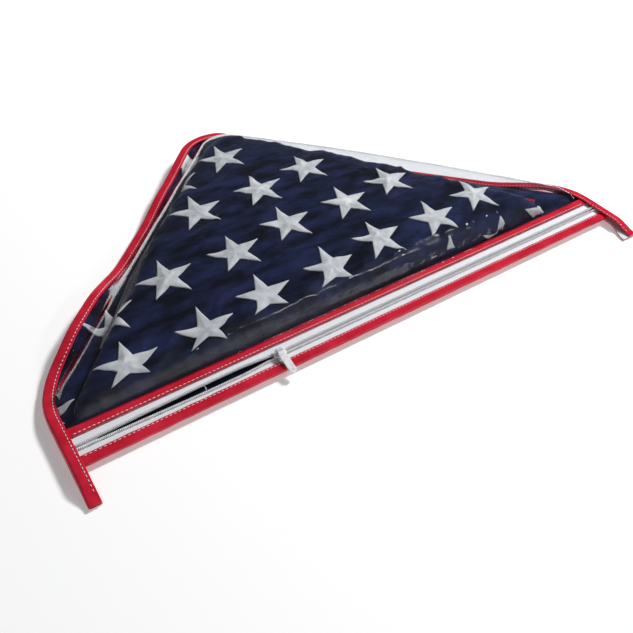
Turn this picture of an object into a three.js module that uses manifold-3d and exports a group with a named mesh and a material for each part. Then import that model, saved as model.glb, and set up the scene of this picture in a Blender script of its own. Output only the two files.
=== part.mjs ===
// A soft, zipped display case for a folded flag: a clear vinyl pouch with bound red edges, a zip along the
// long front edge, and the folded flag that fills it.
// Millimetres. +X runs along the zip, +Y from the zip to the apex, +Z up from the table.
import * as THREE from "three";
import { mergeVertices } from "three/addons/utils/BufferGeometryUtils.js";
import Module from "manifold-3d";

// ---- Driving dimensions -------------------------------------------------------------------------------

const LONG_EDGE = 660; // the front edge, over the side binding
const LEFT_REACH = 420; // |x| + y along the left 45 degree leg, from the front edge
const RIGHT_REACH = 398;
const SHOULDER_RADIUS = 85; // where a leg turns into the short straight side
const SLACK = 8; // the right leg's seam is drawn in under the flag by this much
const APEX_RADIUS = 55;
const TAIL_LENGTH = 36; // the side binding runs on past each front corner

const SHEET = 0.6; // thickness of the vinyl panels
const BINDING_WIDTH = 11; // folded width of the side binding
const BINDING_WALL = 0.9;
const FRONT_BINDING_WIDTH = 10;
const THREAD_WIDTH = 0.9;
const THREAD_HEIGHT = 0.4;
const GAP = 0.3; // between pieces that touch

const TAPE_LEVEL = 5.6; // underside of the zip tapes above the table
const TAPE_THICKNESS = 0.8;
const STRIP_DEPTH = 41; // both front bindings and the zip, front to back
const ZIP_Y = 19.5; // centre line of the zip
const RUNNING_GAP = 1.4; // room for the slider's post between the closed coils
const MOUTH_HALF = 2.6; // how far each coil swings out where the zip is open
const COIL_WIDTH = 2.8;
const COIL_HEIGHT = 1.6;

const SLIDER_X = -123; // where the slider stands
const SLIDER_LENGTH = 13;
const SLIDER_WIDTH = 10;
const TAB_LENGTH = 28;
const TAB_WIDTH = 7.5;
const TAB_DROOP = 12; // degrees below level that the tab hangs at

const BUNDLE_HEIGHT = 40; // the folded flag, at the middle of the case
const STAR_RADIUS = 31;
const STAR_PITCH = 98.8; // between stars of one row
const STAR_ROW_PITCH = 106.8; // between stars of one column
const STAR_TURN = -43.5; // degrees that the rows are turned from +X

// ---- Worked-out dimensions ----------------------------------------------------------------------------

const HALF_EDGE = LONG_EDGE / 2;
const APEX = new THREE.Vector2((RIGHT_REACH - LEFT_REACH) / 2, (RIGHT_REACH + LEFT_REACH) / 2);
const APEX_Y = APEX.y - APEX_RADIUS * (Math.SQRT2 - 1);
const CASE_CENTRE_Y = (APEX_Y - TAIL_LENGTH) / 2;
const TAPE_TOP = TAPE_LEVEL + TAPE_THICKNESS;
const PANEL_MARGIN_LEVEL = TAPE_TOP + GAP; // the clear panel's front margin lies on the upper tape
const UPPER_BINDING_LEVEL = PANEL_MARGIN_LEVEL + SHEET + GAP;
const COIL_LEVEL = TAPE_TOP + GAP;
const CROSSING_LEVEL = 5.8; // mid height of the side binding where it crosses the zip

// ---- Bending flat shapes ------------------------------------------------------------------------------

// A box cut into u by v by w pieces, with each point of its unit cube moved to place(u, v, w).
// A right-handed place keeps the faces outward.
function bent([uCuts, vCuts, wCuts], place) {
  const geometry = new THREE.BoxGeometry(1, 1, 1, uCuts, vCuts, wCuts);
  const position = geometry.attributes.position;
  for (let i = 0; i < position.count; i++) {
    const point = place(position.getX(i) + 0.5, position.getY(i) + 0.5, position.getZ(i) + 0.5);
    position.setXYZ(i, point.x, point.y, point.z);
  }
  geometry.computeVertexNormals();
  return geometry;
}

// A closed skin through a stack of closed contours, from a pole at its bottom to a pole at its top.
function stacked(bottomPole, contours, topPole) {
  const segments = contours[0].length;
  const profile = [0, ...contours.map(() => 1), 0].map((radius, i) => new THREE.Vector2(radius, i));
  const geometry = new THREE.LatheGeometry(profile, segments);
  const position = geometry.attributes.position;
  for (let i = 0; i <= segments; i++) {
    const ring = [bottomPole, ...contours.map((contour) => contour[i % segments]), topPole];
    ring.forEach((point, j) => position.setXYZ(i * ring.length + j, point.x, point.y, point.z));
  }
  geometry.computeVertexNormals();
  return geometry;
}

const ARC_STEPS = 5;

// Points along a line through the corners, each corner rounded to its radius; steps[i] pieces on edge i.
function roundedLine(corners, radii, steps, closed) {
  const points = [];
  const count = corners.length;
  const bends = corners.map((corner, i) => {
    const before = corners[(i + count - 1) % count];
    const after = corners[(i + 1) % count];
    const inward = before.clone().sub(corner).normalize();
    const outward = after.clone().sub(corner).normalize();
    const isEnd = !closed && (i === 0 || i === count - 1);
    const turn = Math.PI - inward.angleTo(outward);
    const reach = isEnd ? 0 : radii[i] * Math.tan(turn / 2);
    return {
      isEnd,
      corner,
      start: corner.clone().addScaledVector(inward, reach),
      end: corner.clone().addScaledVector(outward, reach),
      centre: corner
        .clone()
        .addScaledVector(inward.clone().add(outward).normalize(), radii[i] / Math.cos(turn / 2)),
      turn,
    };
  });
  bends.forEach((bend, i) => {
    if (bend.isEnd) {
      points.push(bend.corner.clone());
    } else {
      const spoke = bend.start.clone().sub(bend.centre);
      for (let k = 0; k <= ARC_STEPS; k++) {
        const turned = spoke.clone().rotateAround(new THREE.Vector2(), (bend.turn * k) / ARC_STEPS);
        points.push(turned.add(bend.centre));
      }
    }
    const next = bends[(i + 1) % count];
    if (!closed && i === count - 1) return;
    for (let k = 1; k < steps[i]; k++) points.push(bend.end.clone().lerp(next.start, k / steps[i]));
  });
  return points;
}

// Height read off a list of [y, height] knots, eased between them.
function heightThrough(knots, y) {
  const last = knots.length - 1;
  if (y <= knots[0][0]) return knots[0][1];
  if (y >= knots[last][0]) return knots[last][1];
  const i = knots.findIndex((knot) => knot[0] > y);
  const [fromY, fromZ] = knots[i - 1];
  const [toY, toZ] = knots[i];
  return THREE.MathUtils.lerp(fromZ, toZ, THREE.MathUtils.smoothstep(y, fromY, toY));
}

// ---- The seam: the line where the two panels meet, and how far it stands off the table -----------------

const LEFT_SEAM = [
  [-TAIL_LENGTH, 1.9],
  [-8, CROSSING_LEVEL],
  [95, CROSSING_LEVEL],
  [150, 19],
  [168, 19],
  [225, 5],
  [260, 5],
  [315, 13],
  [375, 19],
];
const RIGHT_SEAM = [
  [-TAIL_LENGTH, 1.9],
  [-8, CROSSING_LEVEL],
  [80, CROSSING_LEVEL],
  [140, 2.4],
  [325, 2.4],
  [372, 15],
  [384, 19],
];
const FOLD_HALF_HEIGHT = [
  [-TAIL_LENGTH, 1.2],
  [-8, 3.65],
  [50, 3.65],
  [90, 1.55],
];

const seamHeight = ({ x, y }) => heightThrough(x < 0 ? LEFT_SEAM : RIGHT_SEAM, y);
const foldHalfHeight = ({ y }) => heightThrough(FOLD_HALF_HEIGHT, y);
// 1 where the fold stands open over the zip's ends, 0 where it closes on the two panels alone
const [SEWN_FLAT, SEWN_OPEN] = [1.55, 3.65]; // the fold's half height on the legs and at the corners
const standsOpen = (point) =>
  THREE.MathUtils.clamp((foldHalfHeight(point) - SEWN_FLAT) / (SEWN_OPEN - SEWN_FLAT), 0, 1);

// ---- Contours: the plan outline, drawn in from the case's edge ----------------------------------------

const POLE_Y = 160; // the middle of the bundle, where every contour closes in
const SEWN_IN = 5; // how far inside the case's edge a sheet's own edge lies
const FRONT_SEWN_IN = 3; // and the bottom sheet's, along the front
const LEG_STEPS = 12;
const STEPS = [10, 2, LEG_STEPS, LEG_STEPS, 2];

// A plan line like the case's outline: front edge, short sides, legs that reach left and right.
function contour({ front, side, left, right, shoulder = 14, apex = 30, corner = 3 }, heightAt) {
  const corners = [
    new THREE.Vector2(-side, front),
    new THREE.Vector2(side, front),
    new THREE.Vector2(side, right - side),
    new THREE.Vector2((right - left) / 2, (right + left) / 2),
    new THREE.Vector2(-side, left - side),
  ];
  const line = roundedLine(corners, [corner, corner, shoulder, apex, shoulder], STEPS, true);
  return line.map((point, i) => new THREE.Vector3(point.x, point.y, heightAt(point, i)));
}

const insetBy = (inset, front) => ({
  front,
  side: HALF_EDGE - inset,
  left: LEFT_REACH - inset * Math.SQRT2,
  right: RIGHT_REACH - inset * Math.SQRT2,
  shoulder: SHOULDER_RADIUS - inset,
  apex: APEX_RADIUS - inset,
});

// How far the seam is drawn in toward the flag along X and along Y, at a point of the case's edge.
const SLACK_STARTS = [85, 140]; // distances behind the front edge where the slack sets in
const SLACK_ENDS = [220, 350]; // and where it has gone again
function slackAt({ x, y }) {
  const rising = THREE.MathUtils.smoothstep(y, ...SLACK_STARTS);
  const falling = 1 - THREE.MathUtils.smoothstep(y, ...SLACK_ENDS);
  return x < 0 ? 0 : (SLACK / Math.SQRT2) * rising * falling;
}

// A contour that stays a fixed distance inside the case's edge and follows the seam's height.
function marginContour(inset, front, offSeam) {
  const feet = contour(insetBy(0, front), () => 0);
  const drawn = contour(insetBy(inset, front), (point, i) => seamHeight(feet[i]) + offSeam(feet[i]));
  drawn.forEach((point, i) => {
    point.x -= slackAt(feet[i]);
    point.y -= slackAt(feet[i]);
  });
  return drawn;
}

const grownBy = (plan, across, frontward) => ({
  ...plan,
  front: plan.front - frontward,
  side: plan.side + across,
  left: plan.left + across * Math.SQRT2,
  right: plan.right + across * Math.SQRT2,
});

// ---- The folded flag's shape --------------------------------------------------------------------------

// The bundle is a low cushion: highest toward the apex, lower along the zip and at the two tips.
function bundleTop({ x, y }) {
  const fromMiddle = y - POLE_Y;
  const slope = 0.03 * fromMiddle;
  const crownAcross = 10 * (x / 300) ** 2;
  const crownAlong = 6 * (fromMiddle / 200) ** 2;
  return BUNDLE_HEIGHT + slope - crownAcross - crownAlong;
}

const BUNDLE_UNDERSIDE = 1.2;
const LEDGE_TOP = 3.4; // the cloth that lies under the zip
const BUNDLE_LEVELS = [
  { plan: { front: 45, side: 308, left: 384, right: 360 }, share: 0.25 },
  { plan: { front: 47, side: 303, left: 381, right: 359 }, share: 0.55 },
  { plan: { front: 53, side: 292, left: 372, right: 354 }, share: 0.8 },
  { plan: { front: 64, side: 264, left: 352, right: 338 }, share: 0.95 },
  { plan: { front: 90, side: 190, left: 302, right: 293 }, share: 1 },
  { plan: { front: 125, side: 85, left: 232, right: 226, apex: 14 }, share: 1 },
];
const CREST_LEVEL = 3; // the level at which the top face turns down toward the zip

// The bundle's upper skin, as contours from its foot to its crown, standing off by a given distance.
const bundleCover = (off) =>
  BUNDLE_LEVELS.map(({ plan, share }) =>
    contour(grownBy(plan, off, off), (point) => bundleTop(point) * share + off),
  );
const crownAt = (off) => new THREE.Vector3(0, POLE_Y, bundleTop({ x: 0, y: POLE_Y }) + off);

// ---- Pieces as geometry -------------------------------------------------------------------------------

const wasm = await Module();
wasm.setup();

function toSolid(geometry) {
  const bare = geometry.clone();
  bare.deleteAttribute("normal");
  bare.deleteAttribute("uv");
  const merged = mergeVertices(bare, 1e-3);
  const mesh = { numProp: 3, vertProperties: merged.attributes.position.array, triVerts: merged.index.array };
  mesh.triVerts = new Uint32Array(mesh.triVerts);
  return new wasm.Manifold(new wasm.Mesh(mesh));
}

function fromSolid(solid) {
  const mesh = solid.getMesh();
  const geometry = new THREE.BufferGeometry();
  geometry.setAttribute("position", new THREE.BufferAttribute(mesh.vertProperties, 3));
  geometry.setIndex(new THREE.BufferAttribute(mesh.triVerts, 1));
  geometry.computeVertexNormals();
  return geometry;
}

const BUNDLE_CLEARANCE = 3; // between the flag and the clear panel over it
const BUNDLE_FOOT_ROOM = 2.4; // and the same at the foot of its front fold
const LEG_ROOM = [6, 4.5]; // at the two lowest levels, for the folds that stand out along the legs

// Clear sheet over the flag. Its margin lies in the side binding's fold and under the upper front binding.
function topPanel() {
  const offSeam = (foot) => THREE.MathUtils.lerp(0.2, PANEL_MARGIN_LEVEL - CROSSING_LEVEL, standsOpen(foot));
  const skin = (thickness) => {
    const off = BUNDLE_CLEARANCE + thickness;
    const overBundle = bundleCover(off).slice(LEG_ROOM.length);
    const foot = LEG_ROOM.map((room, level) => {
      const { plan, share } = BUNDLE_LEVELS[level];
      const frontward = level === 0 ? BUNDLE_FOOT_ROOM + thickness : off;
      return contour(grownBy(plan, room + thickness, frontward), (point) =>
        Math.max(bundleTop(point) * share + off, seamHeight(point) + 1 + thickness),
      );
    });
    const atSeam = (seam) => offSeam(seam) + thickness;
    const inner = marginContour(BINDING_WIDTH + 1.5, STRIP_DEPTH + 1, atSeam);
    const edge = marginContour(SEWN_IN, STRIP_DEPTH - 8, atSeam);
    return [...overBundle.reverse(), ...foot.reverse(), inner, edge];
  };
  const under = crownAt(BUNDLE_CLEARANCE);
  const over = crownAt(BUNDLE_CLEARANCE + SHEET);
  return stacked(under, [...skin(0), ...skin(SHEET).reverse()], over);
}

// Clear sheet that lies on the table and turns up at its edge to meet the seam.
function bottomPanel() {
  const offSeam = (foot) => -THREE.MathUtils.lerp(0.8, CROSSING_LEVEL - 4.1, standsOpen(foot));
  const lying = { front: 16, side: 313, left: 392, right: 364 };
  const skin = (thickness) => [
    contour(grownBy(lying, -thickness, -thickness), () => thickness),
    marginContour(
      BINDING_WIDTH + 1 + thickness,
      FRONT_BINDING_WIDTH + 0.6 + thickness,
      (seam) => offSeam(seam) + thickness,
    ),
    marginContour(SEWN_IN, FRONT_SEWN_IN, (seam) => offSeam(seam) + thickness),
  ];
  const centre = new THREE.Vector3(0, POLE_Y, 0);
  const centreAbove = new THREE.Vector3(0, POLE_Y, SHEET);
  return stacked(centre, [...skin(0), ...skin(SHEET).reverse()], centreAbove);
}

// Across a folded strip: distance in from its outer edge, height from mid fold, and the outward direction.
const FOLD_DEPTH = 2;
function foldSection(step, half, lowerWidth, upperWidth) {
  const lower = new THREE.Vector2(0, -1);
  const upper = new THREE.Vector2(0, 1);
  if (step === 0) return { at: new THREE.Vector2(lowerWidth, -half), out: lower };
  if (step === 1) return { at: new THREE.Vector2((lowerWidth + FOLD_DEPTH) / 2, -half), out: lower };
  if (step === 9) return { at: new THREE.Vector2((upperWidth + FOLD_DEPTH) / 2, half), out: upper };
  if (step === 10) return { at: new THREE.Vector2(upperWidth, half), out: upper };
  const angle = THREE.MathUtils.degToRad(-90 + 30 * (step - 2));
  const at = new THREE.Vector2(FOLD_DEPTH * (1 - Math.cos(angle)), half * Math.sin(angle));
  return { at, out: new THREE.Vector2(-Math.cos(angle), Math.sin(angle)) };
}
const FOLD_STEPS = 10;

const directionAt = (line, i) =>
  line[Math.min(i + 1, line.length - 1)]
    .clone()
    .sub(line[Math.max(i - 1, 0)])
    .normalize();

// A strip folded over an edge line that has the case on its left; half, lower and upper are read at the line.
function foldedStrip(line, midHeightAt, halfAt, lowerWidthAt, upperWidth) {
  const lengths = line.length - 1;
  return bent([lengths, FOLD_STEPS, 1], (u, v, w) => {
    const i = Math.round(u * lengths);
    const point = line[i];
    const along = directionAt(line, i);
    const step = Math.round(v * FOLD_STEPS);
    const section = foldSection(step, halfAt(point), lowerWidthAt(point), upperWidth);
    const { at, out } = section;
    const across = at.x + out.x * (w - 0.5) * BINDING_WALL;
    const up = at.y + out.y * (w - 0.5) * BINDING_WALL;
    return new THREE.Vector3(
      point.x - along.y * across,
      point.y + along.x * across,
      midHeightAt(point) + up,
    );
  });
}

// A narrow band that follows a line, from inner to outer distances on its left, between two heights.
function band(line, from, to, bottomAt, topAt) {
  const lengths = line.length - 1;
  return bent([lengths, 1, 1], (u, v, w) => {
    const i = Math.round(u * lengths);
    const point = line[i];
    const along = directionAt(line, i);
    const across = THREE.MathUtils.lerp(from(point), to(point), v);
    const height = THREE.MathUtils.lerp(bottomAt(point), topAt(point), w);
    return new THREE.Vector3(point.x - along.y * across, point.y + along.x * across, height);
  });
}

// The side binding's outer edge, from the end of the right tail round to the end of the left tail.
const sideLine = roundedLine(
  [
    new THREE.Vector2(HALF_EDGE, -TAIL_LENGTH),
    new THREE.Vector2(HALF_EDGE, RIGHT_REACH - HALF_EDGE),
    APEX,
    new THREE.Vector2(-HALF_EDGE, LEFT_REACH - HALF_EDGE),
    new THREE.Vector2(-HALF_EDGE, -TAIL_LENGTH),
  ],
  [0, SHOULDER_RADIUS, APEX_RADIUS, SHOULDER_RADIUS, 0],
  [5, LEG_STEPS, LEG_STEPS, 5],
  false,
).map((point) => point.subScalar(slackAt(point)));

// A straight line along X at a given y, cut into equal pieces.
const alongX = (from, to, y, pieces) =>
  Array.from(
    { length: pieces + 1 },
    (_, i) => new THREE.Vector2(THREE.MathUtils.lerp(from, to, i / pieces), y),
  );

const SPLAY = 10; // the right tail's lower leg lies open on the table
function sideBinding() {
  const lowerWidth = ({ x, y }) =>
    BINDING_WIDTH + (x > 0 ? SPLAY * THREE.MathUtils.smoothstep(-y, 6, TAIL_LENGTH) : 0);
  return foldedStrip(sideLine, seamHeight, foldHalfHeight, lowerWidth, BINDING_WIDTH);
}

const STITCH_INSET = 8.6;
function sideStitching() {
  const onTop = (point) => seamHeight(point) + foldHalfHeight(point) + BINDING_WALL / 2 + GAP;
  return band(
    sideLine,
    () => STITCH_INSET - THREAD_WIDTH / 2,
    () => STITCH_INSET + THREAD_WIDTH / 2,
    onTop,
    (point) => onTop(point) + THREAD_HEIGHT,
  );
}

const STRIP_HALF = HALF_EDGE - 5; // the front strip's ends lie inside the side binding's fold
const LOWER_FOLD_MID = 5.25;
const LOWER_FOLD_HALF = 1.85;

function lowerFrontBinding() {
  return foldedStrip(
    alongX(-STRIP_HALF, STRIP_HALF, 0, 12),
    () => LOWER_FOLD_MID,
    () => LOWER_FOLD_HALF,
    () => FRONT_BINDING_WIDTH,
    FRONT_BINDING_WIDTH,
  );
}

const STITCHED_HALF = HALF_EDGE - BINDING_WIDTH - 1; // stitches show between the side bindings
function frontThread(y, bottom) {
  return band(
    alongX(-STITCHED_HALF, STITCHED_HALF, y, 1),
    () => -THREAD_WIDTH / 2,
    () => THREAD_WIDTH / 2,
    () => bottom,
    () => bottom + THREAD_HEIGHT,
  );
}

const UPPER_BINDING_THICKNESS = 1;
function upperFrontBinding() {
  return band(
    alongX(-STRIP_HALF, STRIP_HALF, STRIP_DEPTH - FRONT_BINDING_WIDTH, 1),
    () => 0,
    () => FRONT_BINDING_WIDTH,
    () => UPPER_BINDING_LEVEL,
    () => UPPER_BINDING_LEVEL + UPPER_BINDING_THICKNESS,
  );
}

// How far each half of the zip stands off its centre line: open to the left of the slider.
const MOUTH_STARTS = [-4, 45]; // distances behind the slider over which the mouth opens
const MOUTH_NARROWS = 60; // and the distance where it starts to close toward the strip's end
function mouth({ x }) {
  const behind = SLIDER_X - x;
  const opening = THREE.MathUtils.smoothstep(behind, ...MOUTH_STARTS);
  const closing = 1 - THREE.MathUtils.smoothstep(behind, MOUTH_NARROWS, STRIP_HALF + SLIDER_X - 3);
  return RUNNING_GAP / 2 + MOUTH_HALF * opening * closing;
}
const zipLine = alongX(-STRIP_HALF, STRIP_HALF, ZIP_Y, 46);
const TAPE_SETBACK = 0.5; // the coil stands a little past the tape's edge

// side is 1 for the upper half of the zip and -1 for the lower
function zipTape(side) {
  const outer = side > 0 ? STRIP_DEPTH - 2 - ZIP_Y : -(ZIP_Y - 2.5);
  const inner = (point) => side * (mouth(point) + TAPE_SETBACK);
  return band(
    zipLine,
    side > 0 ? inner : () => outer,
    side > 0 ? () => outer : inner,
    () => TAPE_LEVEL,
    () => TAPE_TOP,
  );
}

function zipCoil(side) {
  const inner = (point) => side * mouth(point);
  const outer = (point) => side * (mouth(point) + COIL_WIDTH);
  return band(
    zipLine,
    side > 0 ? inner : outer,
    side > 0 ? outer : inner,
    () => COIL_LEVEL,
    () => COIL_LEVEL + COIL_HEIGHT,
  );
}

// ---- The slider and its tab ---------------------------------------------------------------------------

function roundedPlate(length, width, radius, bottom, top) {
  const shape = new THREE.Shape();
  const x = length / 2 - radius;
  const y = width / 2 - radius;
  shape.absarc(x, y, radius, 0, Math.PI / 2);
  shape.absarc(-x, y, radius, Math.PI / 2, Math.PI);
  shape.absarc(-x, -y, radius, Math.PI, 1.5 * Math.PI);
  shape.absarc(x, -y, radius, 1.5 * Math.PI, 2 * Math.PI);
  const plate = new THREE.ExtrudeGeometry(shape, {
    depth: top - bottom,
    bevelEnabled: false,
    curveSegments: 4,
  });
  return plate.translate(0, 0, bottom);
}

const box = (x0, x1, y0, y1, z0, z1) =>
  new THREE.BoxGeometry(x1 - x0, y1 - y0, z1 - z0).translate((x0 + x1) / 2, (y0 + y1) / 2, (z0 + z1) / 2);

const UNDER_PLATE = [3.9, 5.0]; // heights of the slider's lower plate
const OVER_PLATE = [8.8, 10.2]; // and of its upper plate
const BAR_RADIUS = 0.85;
const BAR_LEVEL = 13.1; // axis of the bridge that the tab swings on
const BAR_HALF = 4.6; // from the slider's middle to the outside of the bridge's legs
const LEG_THICKNESS = 1.2;
const POST_HALF = 0.45;

// Two plates with the coils between them, the post that parts the coils, and the bridge on top.
function sliderBody() {
  const under = roundedPlate(SLIDER_LENGTH, SLIDER_WIDTH, 3, ...UNDER_PLATE);
  const over = roundedPlate(SLIDER_LENGTH, SLIDER_WIDTH, 3, ...OVER_PLATE);
  const postX = -SLIDER_LENGTH / 2 + 1.4;
  const [postFoot, postTop] = [UNDER_PLATE[0] + 0.4, OVER_PLATE[1] - 0.4];
  const post = box(postX, postX + 2.6, -POST_HALF, POST_HALF, postFoot, postTop);
  const bar = new THREE.CylinderGeometry(BAR_RADIUS, BAR_RADIUS, 2 * BAR_HALF, 10);
  bar.rotateZ(Math.PI / 2).translate(0, 0, BAR_LEVEL);
  const legTop = BAR_LEVEL + 0.4;
  const foot = OVER_PLATE[1] - 0.4;
  const leg = (x) => box(x, x + LEG_THICKNESS, -0.9, 0.9, foot, legTop);
  const legs = [leg(-BAR_HALF), leg(BAR_HALF - LEG_THICKNESS)];
  const solid = [over, post, bar, ...legs].reduce((sum, piece) => sum.add(toSolid(piece)), toSolid(under));
  return fromSolid(solid);
}

const EYE_OUTER = 2.1;
const EYE_INNER = 1.2;
const EYE_HALF_WIDTH = 2.9;
const TAB_THICKNESS = 1.3;

// The tab, drawn level and pointing to -Y from the bridge's axis: a rolled eye and a flat blade with a hole.
function pullTab() {
  const ring = new THREE.Shape().absarc(0, 0, EYE_OUTER, 0, 2 * Math.PI);
  ring.holes.push(new THREE.Path().absarc(0, 0, EYE_INNER, 0, 2 * Math.PI, true));
  const eye = new THREE.ExtrudeGeometry(ring, {
    depth: 2 * EYE_HALF_WIDTH,
    bevelEnabled: false,
    curveSegments: 8,
  });
  eye.translate(0, 0, -EYE_HALF_WIDTH).rotateY(Math.PI / 2);
  const blade = new THREE.Shape();
  const half = TAB_WIDTH / 2;
  const bladeTop = -EYE_INNER - 0.4;
  blade.moveTo(-EYE_HALF_WIDTH, bladeTop);
  blade.lineTo(-half, bladeTop - 3);
  blade.lineTo(-half, -TAB_LENGTH + half);
  blade.absarc(0, -TAB_LENGTH + half, half, Math.PI, 2 * Math.PI);
  blade.lineTo(half, bladeTop - 3);
  blade.lineTo(EYE_HALF_WIDTH, bladeTop);
  blade.holes.push(new THREE.Path().absarc(0, -TAB_LENGTH + half, 1.1, 0, 2 * Math.PI, true));
  const flat = new THREE.ExtrudeGeometry(blade, {
    depth: TAB_THICKNESS,
    bevelEnabled: false,
    curveSegments: 8,
  });
  flat.translate(0, 0, -TAB_THICKNESS / 2);
  return fromSolid(toSolid(eye).add(toSolid(flat)));
}

// ---- The folded flag ----------------------------------------------------------------------------------

const STRIPE_PLAN = { front: 72, side: 288, left: 388, right: 364, apex: 24 };
const STRIPE_HEIGHTS = [5, 17];

const slab = (plan, bottom, top) =>
  stacked(
    new THREE.Vector3(0, POLE_Y, bottom),
    [contour(plan, () => bottom), contour(plan, () => top)],
    new THREE.Vector3(0, POLE_Y, top),
  );

// The navy cloth goes under the bundle, round its front fold and over its top, and is open along both legs.
function cantonWrap() {
  const foot = { side: 308, left: 382, right: 358 };
  const under = contour({ front: 27, ...foot }, () => BUNDLE_UNDERSIDE);
  const lip = contour({ front: 24, ...foot }, () => LEDGE_TOP);
  const ledge = contour({ front: 44.5, ...foot }, () => LEDGE_TOP + 0.2);
  const bottomPole = new THREE.Vector3(0, POLE_Y, BUNDLE_UNDERSIDE);
  const whole = stacked(bottomPole, [under, lip, ledge, ...bundleCover(0)], crownAt(0));
  const spare = GAP + 0.1;
  const room = slab(grownBy(STRIPE_PLAN, spare, spare), STRIPE_HEIGHTS[0] - spare, STRIPE_HEIGHTS[1] + spare);
  return fromSolid(toSolid(whole).subtract(toSolid(room)));
}

const stripeBundle = () => slab(STRIPE_PLAN, ...STRIPE_HEIGHTS);

// Where a point of the flat cloth lands in plan: past the crest the cloth runs down the front fold.
function landing({ x, y }) {
  const crest = BUNDLE_LEVELS[CREST_LEVEL].plan.front;
  let left = crest - y;
  for (let level = CREST_LEVEL; left > 0 && level > 0; level--) {
    const from = BUNDLE_LEVELS[level];
    const to = BUNDLE_LEVELS[level - 1];
    const run = from.plan.front - to.plan.front;
    const length = Math.hypot(run, (from.share - to.share) * bundleTop({ x, y: crest }));
    if (left <= length) return new THREE.Vector2(x, from.plan.front - (run * left) / length);
    left -= length;
  }
  return new THREE.Vector2(x, Math.max(y, BUNDLE_LEVELS[0].plan.front));
}

const STAR_LIFT = 0.5;
const STAR_THICKNESS = 0.6;
const STAR_WAIST = 0.4; // inner radius as a share of the outer
const STAR_ORIGIN = new THREE.Vector2(-30.7, 294.7); // the star nearest the apex
const ODD_ROW_SHIFT = new THREE.Vector2(3.9, -6.2);

const coverSolid = (off) =>
  toSolid(stacked(new THREE.Vector3(0, POLE_Y, LEDGE_TOP), bundleCover(off), crownAt(off)));
const starLayer = coverSolid(STAR_LIFT + STAR_THICKNESS).subtract(coverSolid(STAR_LIFT));

// The star in half-step column i of half-step row j, with one point toward the zip: cut out of a layer
// that lies on the bundle.
function star(i, j) {
  const turn = THREE.MathUtils.degToRad(STAR_TURN);
  const alongRow = new THREE.Vector2(Math.cos(turn), Math.sin(turn));
  const downColumn = new THREE.Vector2(Math.sin(turn), -Math.cos(turn));
  const centre = STAR_ORIGIN.clone()
    .addScaledVector(alongRow, (i / 2) * STAR_PITCH)
    .addScaledVector(downColumn, (j / 2) * STAR_ROW_PITCH)
    .addScaledVector(ODD_ROW_SHIFT, j % 2);
  const points = Array.from({ length: 10 }, (_, k) => {
    const radius = STAR_RADIUS * (k % 2 ? STAR_WAIST : 1);
    const angle = (k * Math.PI) / 5;
    const flat = centre
      .clone()
      .addScaledVector(downColumn, radius * Math.cos(angle))
      .addScaledVector(alongRow, radius * Math.sin(angle));
    return landing(flat);
  });
  const cutter = new THREE.ExtrudeGeometry(new THREE.Shape(points), { depth: 60, bevelEnabled: false });
  const cut = starLayer.intersect(toSolid(cutter));
  const [whole] = cut.decompose().sort((one, other) => other.volume() - one.volume());
  return fromSolid(whole);
}

// ---- Materials ----------------------------------------------------------------------------------------

const clearVinyl = new THREE.MeshStandardMaterial({
  color: 0xe8eef2,
  roughness: 0.08,
  transparent: true,
  opacity: 0.3,
});
const redVinyl = new THREE.MeshStandardMaterial({ color: 0xcc2236, roughness: 0.35 });
const whiteThread = new THREE.MeshStandardMaterial({ color: 0xf2f2f0, roughness: 0.7 });
const whiteTape = new THREE.MeshStandardMaterial({ color: 0xe3e4ea, roughness: 0.85 });
const whiteNylon = new THREE.MeshStandardMaterial({ color: 0xe6e7ec, roughness: 0.4 });
const whiteEnamel = new THREE.MeshStandardMaterial({ color: 0xe9e9eb, roughness: 0.3 });
const navyCloth = new THREE.MeshStandardMaterial({ color: 0x1a2140, roughness: 0.8 });
const stripeCloth = new THREE.MeshStandardMaterial({ color: 0xd9d9dc, roughness: 0.8 });
const starThread = new THREE.MeshStandardMaterial({ color: 0xdadbdb, roughness: 0.75 });

// ---- Assembly -----------------------------------------------------------------------------------------

const displayCase = new THREE.Group();
const pouch = new THREE.Group();
pouch.position.y = -CASE_CENTRE_Y;
displayCase.add(pouch);

function add(parent, name, geometry, material) {
  const mesh = new THREE.Mesh(geometry, material);
  mesh.name = name;
  parent.add(mesh);
  return mesh;
}

add(pouch, "top_panel", topPanel(), clearVinyl);
add(pouch, "bottom_panel", bottomPanel(), clearVinyl);
add(pouch, "side_binding", sideBinding(), redVinyl);
add(pouch, "side_stitching", sideStitching(), whiteThread);
add(pouch, "lower_front_binding", lowerFrontBinding(), redVinyl);
add(pouch, "upper_front_binding", upperFrontBinding(), redVinyl);

const lowerStitchY = FRONT_BINDING_WIDTH - 1.6;
const lowerStitchLevel = LOWER_FOLD_MID + LOWER_FOLD_HALF + BINDING_WALL / 2 + GAP;
add(pouch, "lower_front_stitching", frontThread(lowerStitchY, lowerStitchLevel), whiteThread);
const upperStitchY = STRIP_DEPTH - FRONT_BINDING_WIDTH + 1.6;
const upperStitchLevel = UPPER_BINDING_LEVEL + UPPER_BINDING_THICKNESS + GAP;
add(pouch, "upper_front_stitching", frontThread(upperStitchY, upperStitchLevel), whiteThread);

add(pouch, "upper_zip_tape", zipTape(1), whiteTape);
add(pouch, "lower_zip_tape", zipTape(-1), whiteTape);
add(pouch, "upper_zip_coil", zipCoil(1), whiteNylon);
add(pouch, "lower_zip_coil", zipCoil(-1), whiteNylon);

const slider = new THREE.Group();
slider.position.set(SLIDER_X, ZIP_Y, 0);
pouch.add(slider);
add(slider, "slider_body", sliderBody(), whiteEnamel);
const tab = add(slider, "pull_tab", pullTab(), whiteEnamel);
tab.position.z = BAR_LEVEL;
tab.rotation.x = THREE.MathUtils.degToRad(TAB_DROOP);

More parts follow.
